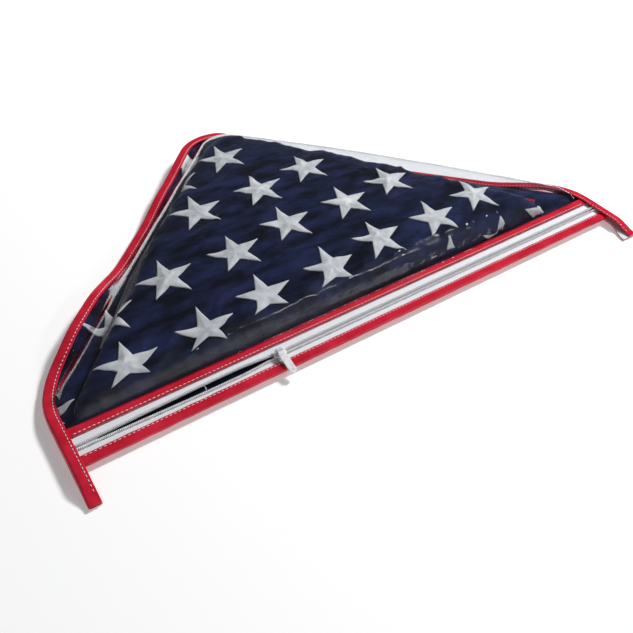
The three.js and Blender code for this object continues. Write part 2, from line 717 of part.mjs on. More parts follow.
add(pouch, "flag_canton_wrap", cantonWrap(), navyCloth);
add(pouch, "flag_stripe_bundle", stripeBundle(), stripeCloth);

// Stars of the canton that show on the top face, as half-step columns for each half-step row.
const STAR_COLUMNS = [[0, 2, 4, 6], [1, 3, 5], [0, 2, 4], [1, 3], [0, 2], [1], [0]];
STAR_COLUMNS.forEach((columns, row) =>
  columns.forEach((column, n) =>
    add(pouch, `flag_star_${row + 1}_${n + 1}`, star(column, row), starThread),
  ),
);

export default displayCase;
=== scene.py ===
"""A soft display case for a folded flag: a clear vinyl pouch, bound in red, zipped along its front edge.

Metres. +X runs along the zip, +Y from the zip to the apex, +Z up from the table.
"""

import math
import random

import bmesh
import bpy
from mathutils import Matrix, Vector, noise
from mathutils.bvhtree import BVHTree


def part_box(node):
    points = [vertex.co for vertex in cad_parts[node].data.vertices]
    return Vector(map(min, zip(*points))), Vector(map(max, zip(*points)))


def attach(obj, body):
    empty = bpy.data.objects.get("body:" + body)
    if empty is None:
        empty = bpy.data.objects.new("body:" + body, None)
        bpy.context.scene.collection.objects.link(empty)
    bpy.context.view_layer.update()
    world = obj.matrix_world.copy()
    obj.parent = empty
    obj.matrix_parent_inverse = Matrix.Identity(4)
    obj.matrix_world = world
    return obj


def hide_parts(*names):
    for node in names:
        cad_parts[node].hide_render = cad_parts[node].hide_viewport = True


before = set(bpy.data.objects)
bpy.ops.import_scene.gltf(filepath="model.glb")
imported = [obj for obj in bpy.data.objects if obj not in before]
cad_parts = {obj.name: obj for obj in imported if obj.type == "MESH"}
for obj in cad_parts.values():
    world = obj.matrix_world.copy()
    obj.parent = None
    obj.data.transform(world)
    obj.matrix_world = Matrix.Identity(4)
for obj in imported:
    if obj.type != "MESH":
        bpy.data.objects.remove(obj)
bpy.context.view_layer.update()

# ---- Camera ----------------------------------------------
# Stands in front of the left corner and looks down across the case toward its right leg.

mm = 0.001


def facing(direction):
    """The turn that points a camera or a lamp along direction."""
    return direction.to_track_quat("-Z", "Y").to_matrix().to_4x4()


camera_data = bpy.data.cameras.new("camera")
camera_data.lens = 39.98
camera_data.sensor_width = 36
camera_data.clip_start = 0.01
camera = bpy.data.objects.new("camera", camera_data)
bpy.context.scene.collection.objects.link(camera)
bpy.context.scene.camera = camera
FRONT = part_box("lower_front_binding")[0].y + 0.45 * mm  # the line of the case's front edge
CAMERA_PLACE = Vector((-0.3563, FRONT - 0.3599, 0.4936))
CAMERA_AIM = Vector((0.4185, 0.5789, -0.6998))
CAMERA_ROLL = math.radians(-2.69)
roll = Matrix.Rotation(-CAMERA_ROLL, 4, "Z")
camera.matrix_world = Matrix.Translation(CAMERA_PLACE) @ facing(CAMERA_AIM) @ roll

# ---- Table and light -------------------------------------
# An opal table, faintly lit from below, in a dim room. The key lamp stands to the right, so soft shadows
# fall to the left, and it shows in no reflection, so the vinyl stays clear. Two narrow lamps give glints.


def srgb(code):
    """An sRGB hex colour as linear RGBA."""
    parts = [int(code[i : i + 2], 16) / 255 for i in (0, 2, 4)]
    return tuple(p / 12.92 if p <= 0.04045 else ((p + 0.055) / 1.055) ** 2.4 for p in parts) + (1,)


def add(tree, kind, feeds=None, **settings):
    """Adds a node; feeds gives each socket a value, or the output or node that drives it."""
    made = tree.nodes.new("ShaderNode" + kind)
    for name, value in settings.items():
        setattr(made, name, value)
    for socket, value in (feeds or {}).items():
        if isinstance(value, bpy.types.Node):
            value = value.outputs[0]
        if isinstance(value, bpy.types.NodeSocket):
            tree.links.new(value, made.inputs[socket])
        else:
            made.inputs[socket].default_value = value
    return made


def new_material(name):
    """An empty node material, its tree, and the place of each point on the piece."""
    made = bpy.data.materials.new(name)
    made.use_nodes = True
    made.node_tree.nodes.clear()
    return made, made.node_tree, add(made.node_tree, "TexCoord").outputs["Object"]


# Opal acrylic light table, faintly lit from below: an even white with the faintest mottle.
table_board, tree, _ = new_material("opal_light_table")
spots = add(tree, "TexNoise", {"Scale": 3, "Detail": 2})
tone = add(tree, "MapRange", {0: spots, 3: 0.90, 4: 0.93})
glow = {"Emission Color": srgb("FFFFFF"), "Emission Strength": 0.26}
board = add(tree, "BsdfPrincipled", {"Base Color": tone, "Roughness": 0.9, **glow})
add(tree, "OutputMaterial", {0: board})

TABLE_SIZE = 12
TABLE_GAP = 0.4 * mm  # keeps the table's face clear of the lowest sheet
bm = bmesh.new()
bmesh.ops.create_grid(bm, x_segments=2, y_segments=2, size=TABLE_SIZE / 2)
bmesh.ops.translate(bm, verts=bm.verts, vec=(0, 0, -TABLE_GAP))
table_mesh = bpy.data.meshes.new("table")
bm.to_mesh(table_mesh)
bm.free()
table_mesh.materials.append(table_board)
table = bpy.data.objects.new("table", table_mesh)
bpy.context.scene.collection.objects.link(table)


def area_light(name, place, aim, width, height, power, mirrored=True):
    """A rectangular lamp at place that faces aim; a lamp that isn't mirrored shows in no reflection."""
    lamp = bpy.data.lights.new(name, "AREA")
    lamp.shape = "RECTANGLE"
    lamp.size = width
    lamp.size_y = height
    lamp.energy = power
    made = bpy.data.objects.new(name, lamp)
    bpy.context.scene.collection.objects.link(made)
    made.visible_glossy = mirrored
    made.matrix_world = Matrix.Translation(place) @ facing(Vector(aim) - Vector(place))


area_light("key", (2.4, 0.6, 2.0), (0, 0, 0), 0.5, 0.5, 128, mirrored=False)
area_light("glint_strip", (0.8, -1.25, 1.0), (0, -0.1, 0), 0.9, 0.03, 3)
area_light("crest_glint", (1.1, -0.45, 1.35), (0, 0, 0), 0.25, 0.03, 0.6)

# The room is bright only low down in front of the case. The far wall and the ceiling, which the flat vinyl
# mirrors toward the front, are almost dark.
DARK_SIDE = (0.42, 0.58, 0.70)
world = bpy.data.worlds.new("dim_room")
bpy.context.scene.world = world
world.use_nodes = True
room = world.node_tree
room.nodes.clear()
around = add(room, "TexCoord")
ahead = add(room, "VectorMath", {0: around.outputs["Generated"], 1: DARK_SIDE}, operation="DOT_PRODUCT")
lit = add(room, "MapRange", {0: ahead.outputs["Value"], 1: -0.7, 2: -0.2, 3: 2.0, 4: 0.07})
walls = add(room, "Background", {"Color": srgb("F2F5FA"), "Strength": lit})
add(room, "OutputWorld", {0: walls})
bpy.context.scene.view_settings.view_transform = "Standard"

# ---- The case's edge -------------------------------------
# The plan that every sheet is cut to: a long front edge, two short sides, and two 45 degree legs that meet
# in a round apex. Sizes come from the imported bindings.

BINDING_WALL = 0.9 * mm
HALF_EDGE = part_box("side_binding")[1].x - BINDING_WALL / 2
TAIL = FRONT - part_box("side_binding")[0].y
SHOULDER_RADIUS = 85 * mm
APEX_RADIUS = 55 * mm
LEFT_REACH = 420 * mm  # |x| + y along the left leg, from the front edge
RIGHT_REACH = 398 * mm
APEX = FRONT + (LEFT_REACH + RIGHT_REACH) / 2 - APEX_RADIUS * (math.sqrt(2) - 1)
SLACK = 8 * mm  # the right leg's seam is drawn in under the flag by this much
SLACK_STARTS = (85 * mm, 140 * mm)  # from the front edge: where the seam starts to draw in, and is drawn in
SLACK_ENDS = (220 * mm, 350 * mm)

SHOULDER_TRIM = SHOULDER_RADIUS * math.tan(math.pi / 8)
RIGHT_SIDE = TAIL + RIGHT_REACH - HALF_EDGE - SHOULDER_TRIM
LEFT_SIDE = TAIL + LEFT_REACH - HALF_EDGE - SHOULDER_TRIM
APEX_X = (RIGHT_REACH - LEFT_REACH) / 2
RIGHT_LEG = (HALF_EDGE - APEX_X) * math.sqrt(2) - SHOULDER_TRIM - APEX_RADIUS
LEFT_LEG = (HALF_EDGE + APEX_X) * math.sqrt(2) - SHOULDER_TRIM - APEX_RADIUS
STRETCHES = (  # (length, radius) of each straight or round stretch, from the right tail to the left one
    (RIGHT_SIDE, 0),
    (SHOULDER_RADIUS * math.pi / 4, SHOULDER_RADIUS),
    (RIGHT_LEG, 0),
    (APEX_RADIUS * math.pi / 2, APEX_RADIUS),
    (LEFT_LEG, 0),
    (SHOULDER_RADIUS * math.pi / 4, SHOULDER_RADIUS),
    (LEFT_SIDE, 0),
)
EDGE_LENGTH = sum(length for length, _ in STRETCHES)


def eased(value, low, high):
    """0 below low, 1 above high, and smooth between."""
    t = min(max((value - low) / (high - low), 0), 1)
    return t * t * (3 - 2 * t)


def slack_at(x, y):
    """How far the seam is drawn in toward the flag along X and along Y."""
    y -= FRONT
    drawn = eased(y, *SLACK_STARTS) * (1 - eased(y, *SLACK_ENDS))
    return 0 if x < 0 else SLACK / math.sqrt(2) * drawn


def case_edge(way):
    """Point and heading of the case's edge at a distance along it, with the case on its left."""
    place = Vector((HALF_EDGE, FRONT - TAIL))
    heading = math.pi / 2
    for length, radius in STRETCHES:
        step = min(way, length)
        if radius:
            inward = Vector((-math.sin(heading), math.cos(heading)))
            centre = place + radius * inward
            heading += step / radius
            place = centre - radius * Vector((-math.sin(heading), math.cos(heading)))
        else:
            place = place + step * Vector((math.cos(heading), math.sin(heading)))
        way -= step
        if way <= 0:
            break
    drawn = slack_at(place.x, place.y)
    return place - Vector((drawn, drawn)), heading


def through(knots, y):
    """Height in metres read off (y, height) knots in millimetres, eased between them."""
    y = (y - FRONT) / mm
    if y <= knots[0][0]:
        return knots[0][1] * mm
    for (y0, z0), (y1, z1) in zip(knots, knots[1:]):
        if y <= y1:
            return (z0 + (z1 - z0) * eased(y, y0, y1)) * mm
    return knots[-1][1] * mm


# (mm from the front edge, mm): how high the seam stands off the table, from the tail's end to the apex,
# and half the height of the binding folded over it.
LEFT_SEAM = [(-36, 1.9), (-8, 5.8), (95, 5.8), (150, 19), (168, 19), (225, 5), (260, 5)]
LEFT_SEAM += [(315, 13), (375, 19)]
RIGHT_SEAM = [(-36, 1.9), (-8, 5.8), (80, 5.8), (140, 2.4), (325, 2.4), (372, 15), (384, 19)]
FOLD_HALF = [(-36, 1.2), (-8, 3.65), (50, 3.65), (90, 1.55)]


def seam_height(x, y):
    return through(LEFT_SEAM if x < 0 else RIGHT_SEAM, y)


def cut_away(bm, place, outward):
    """Cuts off what lies outward of the plane through place."""
    whole = bm.verts[:] + bm.edges[:] + bm.faces[:]
    bmesh.ops.bisect_plane(bm, geom=whole, dist=1e-6, plane_co=place, plane_no=outward, clear_outer=True)


CUTS_PER_CORNER = 7


def cut_to_case(bm, inset, front):
    """Cuts a flat mesh to the case's plan, drawn in by inset, with its front edge at front."""
    ways, passed = [], 0
    for length, radius in STRETCHES:
        count = CUTS_PER_CORNER if radius else 1
        ways += [passed + length * (k + 0.5) / count for k in range(count)]
        passed += length
    for way in ways:
        point, heading = case_edge(way)
        outward = Vector((math.sin(heading), -math.cos(heading), 0))
        cut_away(bm, point.to_3d() - outward * inset, outward)
    cut_away(bm, (0, front, 0), (0, -1, 0))


def tree_of(mesh):
    """A mesh's surface, for finding heights on it."""
    bm = bmesh.new()
    bm.from_mesh(mesh)
    found = BVHTree.FromBMesh(bm)
    bm.free()
    return found


def drop(surface, x, y, otherwise):
    """Height of a surface under a point, looking down from above."""
    hit = surface.ray_cast(Vector((x, y, 1)), Vector((0, 0, -1)))[0]
    return hit.z if hit else otherwise


def lift(surface, x, y, otherwise):
    """Height of a surface over a point, looking up from below."""
    hit = surface.ray_cast(Vector((x, y, -1)), Vector((0, 0, 1)))[0]
    return hit.z if hit else otherwise


def grid(across, along, width=1, depth=1, middle=(0, 0, 0)):
    """A flat grid with that many faces each way, width by depth about middle."""
    bm = bmesh.new()
    bmesh.ops.create_grid(bm, x_segments=across, y_segments=along, size=0.5)
    bmesh.ops.scale(bm, verts=bm.verts, vec=(width, depth, 1))
    bmesh.ops.translate(bm, verts=bm.verts, vec=middle)
    return bm


def flat_cloth(spacing, inset, front):
    """A fine grid that covers the case, cut to its plan."""
    low, high = Vector((-HALF_EDGE, front)), Vector((HALF_EDGE, APEX))
    size, middle = high - low, (low + high) / 2
    bm = grid(round(size.x / spacing), round(size.y / spacing), size.x, size.y, middle.to_3d())
    cut_to_case(bm, inset, front)
    return bm


def finish_piece(name, bm, material, stands_for=(), wall=None, offset=-1, body="case"):
    """Makes the bmesh a piece that rides on a body; wall gives it a thickness on the side offset says."""
    mesh = bpy.data.meshes.new(name)
    bm.to_mesh(mesh)
    bm.free()
    mesh.materials.append(material)
    mesh.shade_smooth()
    made = bpy.data.objects.new(name, mesh)
    bpy.context.scene.collection.objects.link(made)
    if wall:
        shell = made.modifiers.new("wall", "SOLIDIFY")
        shell.thickness = wall
        shell.offset = offset
        shell.use_quality_normals = True
    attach(made, body)
    if stands_for:
        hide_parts(*stands_for)
    return made


# Clear plasticised PVC sheet, calendered: colourless, with a sharp gloss that breaks on its soft waves.
clear_pvc, tree, spot = new_material("clear_pvc_sheet")
waves = add(tree, "TexNoise", {"Vector": spot, "Scale": 1 / (45 * mm), "Detail": 1})
ripples = add(tree, "TexNoise", {"Vector": spot, "Scale": 1 / (9 * mm), "Detail": 2})
soft = add(tree, "Bump", {"Height": waves, "Distance": 2.5 * mm, "Strength": 0.6})
fine = add(tree, "Bump", {"Height": ripples, "Normal": soft, "Distance": 0.5 * mm, "Strength": 0.5})
aside = add(tree, "LayerWeight", {"Blend": 0.5, "Normal": fine})
steep = add(tree, "Math", {0: aside.outputs["Facing"], 1: 4}, operation="POWER")
edge_on = add(tree, "MapRange", {0: steep, 3: 0.022, 4: 0.9})
see = add(tree, "BsdfTransparent", {"Color": srgb("FAFBFC")})
gloss = add(tree, "BsdfGlossy", {"Color": (1, 1, 1, 1), "Roughness": 0.035, "Normal": fine})
film = add(tree, "MixShader", {0: edge_on, 1: see, 2: gloss})
add(tree, "OutputMaterial", {0: film})

# ---- Bottom sheet ----------------------------------------
# Clear vinyl that lies on the table and turns up at its edge to meet the seam.

PANEL_WALL = 0.5 * mm
SHEET_INSET = 6 * mm  # both sheets are drawn this far inside the case's edge, within the binding
BOTTOM_STARTS = 4 * mm  # from the front edge
bottom_surface = tree_of(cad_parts["bottom_panel"].data)
bm = flat_cloth(4 * mm, SHEET_INSET, FRONT + BOTTOM_STARTS)
bottom_area = sum(face.calc_area() for face in bm.faces)
for v in bm.verts:
    v.co.z = lift(bottom_surface, v.co.x, v.co.y, 4 * mm)
panel = ["bottom_panel"]
bottom_sheet = finish_piece("bottom_vinyl", bm, clear_pvc, panel, PANEL_WALL, offset=1)

# ---- The folded flag -------------------------------------
# A nylon flag folded into a low triangular cushion: the navy star field goes round the outside, and the
# folds of the white and red stripes stand out along both legs.

LEFT_EDGE = [(-6, 372), (-163, 213), (-300, 62)]  # where the navy ends along the legs, from the apex
RIGHT_EDGE = [(27, 333), (151, 187), (262, 47)]
CREST = 60 * mm  # where the top face turns down toward the zip
FOOT = 44 * mm
SHOULDER_ROLL = 20 * mm
FRONT_ROLL = 22 * mm
EDGE_SHARE = 0.35  # share of its height that the cloth keeps along the legs
FOOT_SHARE = 0.08
CROWN_HEIGHT = 40  # mm off the table, at the middle of the top face
CROWN_MIDDLE = 160  # mm from the front edge to that middle
CROWN_TILT = 0.03  # rise toward the apex
CROWN_FALL_X = 10  # mm lost 300 mm to either side
CROWN_FALL_Y = 6  # mm lost 200 mm before or behind
NAVY_WIDTH = 630 * mm
NAVY_DEPTH = 340 * mm
CREASE_ROOM = 4.4 * mm  # left under the top sheet for the creases


def crown(x, y):
    """Height of the flag's top face over the table, before its edges roll over."""
    behind = (y - FRONT) / mm - CROWN_MIDDLE
    lost_x = CROWN_FALL_X * (x / mm / 300) ** 2
    lost_y = CROWN_FALL_Y * (behind / 200) ** 2
    return (CROWN_HEIGHT + CROWN_TILT * behind - lost_x - lost_y) * mm


def outward_of(start, end):
    """Plan direction square to the line from start to end, away from the front edge."""
    along = Vector((end[0] - start[0], end[1] - start[1])).normalized()
    outward = Vector((along.y, -along.x))
    return -outward if outward.y < 0 else outward


def side_planes(points):
    """(point, outward normal) of the vertical planes through neighbouring plan points."""
    return [(Vector((a[0] * mm, FRONT + a[1] * mm)), outward_of(a, b)) for a, b in zip(points, points[1:])]


left_planes = side_planes(LEFT_EDGE)
right_planes = side_planes(RIGHT_EDGE)
top_surface = tree_of(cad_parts["top_panel"].data)


def rolled(inside, roll):
    """How much of the full height is left at a distance inside an edge that rolls over."""
    t = min(max(inside / roll, 0), 1)
    return math.sqrt(1 - (1 - t) ** 2)


def flag_top(x, y):
    """Height of the navy cloth."""
    point = Vector((x, y))
    left = min((p - point).dot(n) for p, n in left_planes)
    right = min((p - point).dot(n) for p, n in right_planes)
    roll = rolled(left, SHOULDER_ROLL) * rolled(right, SHOULDER_ROLL)
    front = rolled(y - FRONT - FOOT, FRONT_ROLL)
    return crown(x, y) * (EDGE_SHARE + (1 - EDGE_SHARE) * roll) * max(front, FOOT_SHARE)


def raise_faces(bm):
    """Extrudes every face of a flat mesh; gives the new layer's vertices."""
    made = bmesh.ops.extrude_face_region(bm, geom=bm.faces[:])["geom"]
    return [v for v in made if isinstance(v, bmesh.types.BMVert)]


bm = grid(170, 90, NAVY_WIDTH, NAVY_DEPTH, (0, FRONT + FOOT + NAVY_DEPTH / 2, 0))
for place, outward in left_planes + right_planes:
    cut_away(bm, place.to_3d(), outward.to_3d())
for v in raise_faces(bm):
    v.co.z = min(flag_top(v.co.x, v.co.y), drop(top_surface, v.co.x, v.co.y, 1) - CREASE_ROOM)
for v in bm.verts:
    v.co.z = max(v.co.z, 1.5 * mm)
bmesh.ops.recalc_face_normals(bm, faces=bm.faces)


def mottle_and_painted_shade(tree, pattern, low, high, dark, light):
    """The colour that goes from dark to light as pattern goes from low to high; for nylon cloth, painted
    shade.
    """
    share = add(tree, "MapRange", {0: pattern, 1: low, 2: high})
    return add(tree, "Mix", {0: share, 6: srgb(dark), 7: srgb(light)}, data_type="RGBA").outputs[2]


# Woven nylon, dyed navy: deep blue with a slight sheen, and darker and paler streaks of painted crease shade
# and light.
navy_nylon, tree, spot = new_material("navy_nylon_cloth")
stretch = add(tree, "Mapping", {"Vector": spot, "Rotation": (0, 0, 0.5), "Scale": (0.45, 1.3, 1)})
# Painted shade and light: long streaks of darker and paler navy stand in for the creases' shadows and lit
# crests.
painted_crease_shading = add(tree, "TexNoise", {"Vector": stretch, "Scale": 1 / (20 * mm), "Detail": 4})
colour = mottle_and_painted_shade(tree, painted_crease_shading, 0.38, 0.64, "0A0E1F", "252D52")
weave = add(tree, "TexNoise", {"Vector": spot, "Scale": 1 / (1.6 * mm), "Detail": 1})
grain = add(tree, "Bump", {"Height": weave, "Distance": 0.15 * mm, "Strength": 0.6})
pulled = add(tree, "TexNoise", {"Vector": stretch, "Scale": 1 / (9 * mm), "Detail": 4})
grain = add(tree, "Bump", {"Height": pulled, "Normal": grain, "Distance": 2 * mm, "Strength": 0.8})
sheen = {"Sheen Weight": 0.1, "Sheen Roughness": 0.4, "Sheen Tint": srgb("8C97C8")}
cloth = add(tree, "BsdfPrincipled", {"Base Color": colour, "Roughness": 0.6, "Normal": grain, **sheen})
add(tree, "OutputMaterial", {0: cloth})

flag_cover = finish_piece("flag_navy_cover", bm, navy_nylon, ["flag_canton_wrap"])


def apply_all(made):
    """Applies a piece's modifiers to its mesh."""
    graph = bpy.context.evaluated_depsgraph_get()
    whole = bpy.data.meshes.new_from_object(made.evaluated_get(graph), depsgraph=graph)
    made.modifiers.clear()
    made.data = whole


def crumple(point, size, seed):
    """Ridged noise: sharp valleys between soft crests, as creased cloth has."""
    return 1 - 2 * abs(noise.noise(point / size + Vector((seed, 2 * seed, 0))))


CREASE_TURN = Matrix.Rotation(math.radians(-28), 3, "Z")  # long creases run down toward the zip's right end


def creases(point):
    """Rise of the crumpled cloth: long soft creases, with short sharp ones across them."""
    run = CREASE_TURN @ point
    broad = crumple(Vector((run.x / 3.2, run.y, run.z)), 26 * mm, 3)
    short = crumple(Vector((run.x / 2, run.y, run.z)), 11 * mm, 7)
    fine = crumple(point, 5 * mm, 11)
    return (2.5 * broad + 1.2 * short * (0.5 + 0.5 * broad) + 0.2 * fine - 0.9) * mm


def divide(made):
    """Subdivides a piece once."""
    finer = made.modifiers.new("finer", "SUBSURF")
    finer.levels = finer.render_levels = 1


even = flag_cover.modifiers.new("even", "REMESH")
even.mode = "VOXEL"
even.voxel_size = 4 * mm
apply_all(flag_cover)
divide(flag_cover)
apply_all(flag_cover)
flag_cover.data.shade_smooth()
flag_cover.data.update()
for v, direction in zip(flag_cover.data.vertices, [n.vector.copy() for n in flag_cover.data.vertex_normals]):
    v.co += direction * creases(v.co)
    v.co.z = min(v.co.z, drop(top_surface, v.co.x, v.co.y, 1) - 1.6 * mm)
navy_surface = tree_of(flag_cover.data)

# The layer of navy cloth that lies under the zip, seen through its open mouth. Where the zip is shut it is
# drawn back.
INNER_WIDTH = 600 * mm
INNER_DEPTH = 37 * mm
INNER_BACK = 49 * mm  # from the front edge
DRAWN_BACK = 16 * mm
OPENS = (115 * mm, 135 * mm)  # left of the middle: where the drawn back front comes forward
bm = grid(150, 10, INNER_WIDTH, INNER_DEPTH, (0, FRONT + INNER_BACK - INNER_DEPTH / 2, 2.2 * mm))
for v in bm.verts:
    shut = 1 - eased(-v.co.x, *OPENS)
    v.co.y += DRAWN_BACK * shut * (FRONT + INNER_BACK - v.co.y) / INNER_DEPTH
    v.co.z += 0.8 * mm * noise.noise(v.co / (14 * mm))
finish_piece("flag_inner_layer", bm, navy_nylon, wall=1.2 * mm, offset=0)

# Loose navy cloth that fills the margin between the bundle and the seam, lower than the bundle.
MARGIN = 8 * mm
LEFT_FULLNESS = 0.75  # share of the room between the sheets that the loose cloth takes up
LEFT_SUNK = 0.55  # less fullness where the stripe folds lie
RIGHT_FULLNESS = 0.3
SINKS = (95 * mm, 125 * mm)  # from the front edge
RISES = (270 * mm, 300 * mm)
LOWER_THAN_CROWN = 0.42
bm = flat_cloth(4 * mm, MARGIN, FRONT + 38 * mm)
for v in bm.verts:
    ceiling = drop(top_surface, v.co.x, v.co.y, 12 * mm) - 3.4 * mm
    floor = lift(bottom_surface, v.co.x, v.co.y, 0) + 2 * mm
    depth = v.co.y - FRONT
    by_stripes = eased(depth, *SINKS) * (1 - eased(depth, *RISES))
    fullness = LEFT_FULLNESS - LEFT_SUNK * by_stripes if v.co.x < 0 else RIGHT_FULLNESS
    height = min(floor + fullness * max(ceiling - floor, 0), LOWER_THAN_CROWN * crown(v.co.x, v.co.y))
    wrinkle = 1.6 * crumple(v.co, 24 * mm, 17) + 0.8 * crumple(v.co, 10 * mm, 19) - 1
    v.co.z = max(min(height + wrinkle * mm, ceiling), floor)
bmesh.ops.smooth_vert(bm, verts=bm.verts, factor=0.5, use_axis_z=True)
margin_surface = BVHTree.FromBMesh(bm)
divide(finish_piece("flag_navy_margin", bm, navy_nylon, wall=0.6 * mm))

# ---- Stripe folds ----------------------------------------
# Behind the navy, the flag's white and red stripes lie folded in thin layers whose round edges stand out
# in steps along both legs.

NYLON = 0.5 * mm
FOLD_RUN = 26  # mm that each folded layer runs in under the navy
FOLD_ROUND = 1.6  # mm that its round edge stands out
LEAF = 0.35  # share of the cloth in each leaf; the round edge has the rest


def cloth_material(name, dark, light):
    """Woven nylon: a fine grain, and darker and paler patches of painted crease shade in its tone."""
    made, tree, spot = new_material(name)
    # Painted shade: soft darker and paler patches in the colour stand in for the shade of creases.
    painted_crease_shade = add(tree, "TexNoise", {"Vector": spot, "Scale": 1 / (18 * mm), "Detail": 3})
    colour = mottle_and_painted_shade(tree, painted_crease_shade, 0.35, 0.65, dark, light)
    weave = add(tree, "TexNoise", {"Vector": spot, "Scale": 1 / (1.6 * mm), "Detail": 1})
    grain = add(tree, "Bump", {"Height": weave, "Distance": 0.15 * mm, "Strength": 0.6})
    finish = {"Base Color": colour, "Roughness": 0.65, "Sheen Weight": 0.1, "Normal": grain}
    cloth = add(tree, "BsdfPrincipled", finish)
    add(tree, "OutputMaterial", {0: cloth})
    return made


white_nylon = cloth_material("white_nylon_cloth", "B9BAC0", "DEDFE2")
red_nylon = cloth_material("red_nylon_cloth", "8A1022", "B21C30")


def stripe_fold(name, cloth, start, end, share, layer, count, seed, bulge=0, stands_for=()):
    """A layer folded over itself: start and end are the (x, y) mm of its round edge, and the layers share
    the height between the bottom sheet and that share of the crown."""
    bm = grid(160, 16)
    outward = outward_of(start, end)
    for v in bm.verts:
        t, around = v.co.x + 0.5, v.co.y + 0.5
        depth = FOLD_RUN * (1 - 0.85 * eased(t, 0.75, 1))
        place = Vector((start[0] + (end[0] - start[0]) * t, start[1] + (end[1] - start[1]) * t))
        ripple = noise.noise(Vector((place.x / 12, place.y / 12, seed + 5)))
        edge = 1.8 * noise.noise(Vector((place.x / 50, place.y / 50, seed + 9))) + 0.5 * ripple
        if around < LEAF:
            back, side = depth * (LEAF - around) / LEAF, -1
        elif around > 1 - LEAF:
            back, side = depth * (around - (1 - LEAF)) / LEAF, 1
        else:
            turn = math.pi * (around - 0.5) / (1 - 2 * LEAF)
            back, side = -FOLD_ROUND * math.cos(turn), math.sin(turn)
        shift = (edge + bulge * math.sin(math.pi * t) ** 0.5) - back - FOLD_ROUND
        x = (place.x + outward.x * shift) * mm
        y = FRONT + (place.y + outward.y * shift) * mm
        ceiling = min(share * crown(x, y), drop(top_surface, x, y, 1) - 3 * mm)
        floor = lift(bottom_surface, x, y, 0) + 1 * mm
        room = max(ceiling - floor, 2 * mm) / count
        wave = noise.noise(Vector((place.x / 30, place.y / 30, seed)))
        middle = ceiling - room * (layer + 0.5 + 0.25 * wave + 0.1 * ripple)
        v.co = Vector((x, y, max(middle + side * room * 0.36, floor)))
    bmesh.ops.recalc_face_normals(bm, faces=bm.faces)
    finish_piece(name, bm, cloth, stands_for, wall=NYLON, offset=0)


# From the top layer down: (mm that the fold stands out from the navy, 1 if it is white or 0 if it is red).
RIGHT_STEPS = [(1, 0), (4, 1), (8, 1), (12, 1), (14, 1), (15, 0), (14, 1)]
RIGHT_SHARE = 0.76
LEFT_STEPS = [(6, 1), (12, 1), (15, 0), (20, 1), (22, 1)]
LEFT_SHARE = 0.62
for k, (step, is_white) in enumerate(RIGHT_STEPS):
    cloth = white_nylon if is_white else red_nylon
    by_apex, by_corner = 0.35 * step + min(k, 3), 0.75 * step
    start, end = (24 + by_apex, 330 + by_apex), (254 + by_corner, 57 + by_corner)
    bundle = ["flag_stripe_bundle"] if k == 0 else ()
    name = f"flag_stripe_fold_right_{k + 1}"
    stripe_fold(name, cloth, start, end, RIGHT_SHARE, k, len(RIGHT_STEPS), seed=20 + k, stands_for=bundle)
for k, (step, is_white) in enumerate(LEFT_STEPS):
    cloth = white_nylon if is_white else red_nylon
    start, end = (-78, 292), (-262, 92)
    name = f"flag_stripe_fold_left_{k + 1}"
    stripe_fold(name, cloth, start, end, LEFT_SHARE, k, len(LEFT_STEPS), seed=40 + k, bulge=step)

# ---- Embroidered stars -----------------------------------
# White satin-stitch stars sewn to the navy cloth. The stitches of each point slope to its middle line, so
# every star reads as ten shallow facets.

STAR_RADIUS = 30.5 * mm
STAR_WAIST = 0.37  # inner radius as a share of the outer
STAR_RISE = 1.7 * mm
STAR_RIM = 0.15  # share of the rise that is left at its edge
FIFTH = 2 * math.pi / 5
# One edge of the plain star, from a tip on the X axis to the notch beside it.
TIP = Vector((STAR_RADIUS, 0))
NOTCH = Vector((math.cos(FIFTH / 2), math.sin(FIFTH / 2))) * STAR_RADIUS * STAR_WAIST
TIP_TO_NOTCH = (NOTCH - TIP).normalized()
CENTRE_TO_EDGE = abs(TIP.x * TIP_TO_NOTCH.y)
STAR_PITCH = 98.8 * mm
STAR_ROW_PITCH = 106.8 * mm
STAR_TURN = math.radians(-43.5)
STAR_ORIGIN = Vector((-30.7 * mm, FRONT + 294.7 * mm))
ODD_ROW_SHIFT = Vector((3.9, -6.2)) * mm
ALONG_ROW = Vector((math.cos(STAR_TURN), math.sin(STAR_TURN)))
DOWN_COLUMN = Vector((math.sin(STAR_TURN), -math.cos(STAR_TURN)))
TIP_HEADING = math.atan2(DOWN_COLUMN.y, DOWN_COLUMN.x)
CLOTH_FLOOR = 4 * mm  # a star's vertex below this has missed the cloth
FACE_DRAW = 0.42  # how much of the cloth's length the front face takes up in plan

# Rayon embroidery thread in satin stitch: off-white, with a silky streak across each point.
star_thread, tree, spot = new_material("rayon_satin_stitch")
turned = add(tree, "Mapping", {"Vector": spot, "Rotation": (0, 0, -STAR_TURN)})
WAVE_PITCH = 0.32  # about how far apart the bands of a wave texture of scale 1 lie
THREAD_PITCH = 1.1 * mm  # drawn coarser than the real 0.4 mm, which would not show
lines = {"Vector": turned, "Scale": WAVE_PITCH / THREAD_PITCH, "Distortion": 2.5}
threads = add(tree, "TexWave", {**lines, "Detail": 2, "Detail Scale": 0.6}, bands_direction="X")
stain = add(tree, "TexNoise", {"Vector": spot, "Scale": 1 / (9 * mm), "Detail": 3})
colour = mottle_and_painted_shade(tree, stain, 0.3, 0.7, "D3D5D6", "F3F3F2")
rib = add(tree, "Bump", {"Height": threads.outputs["Fac"], "Distance": 0.25 * mm, "Strength": 0.5})
lumps = add(tree, "Bump", {"Height": stain, "Normal": rib, "Distance": 1.2 * mm, "Strength": 0.4})
finish = {"Base Color": colour, "Roughness": 0.55, "Sheen Weight": 0.15, "Normal": lumps}
silk = add(tree, "BsdfPrincipled", finish)
add(tree, "OutputMaterial", {0: silk})


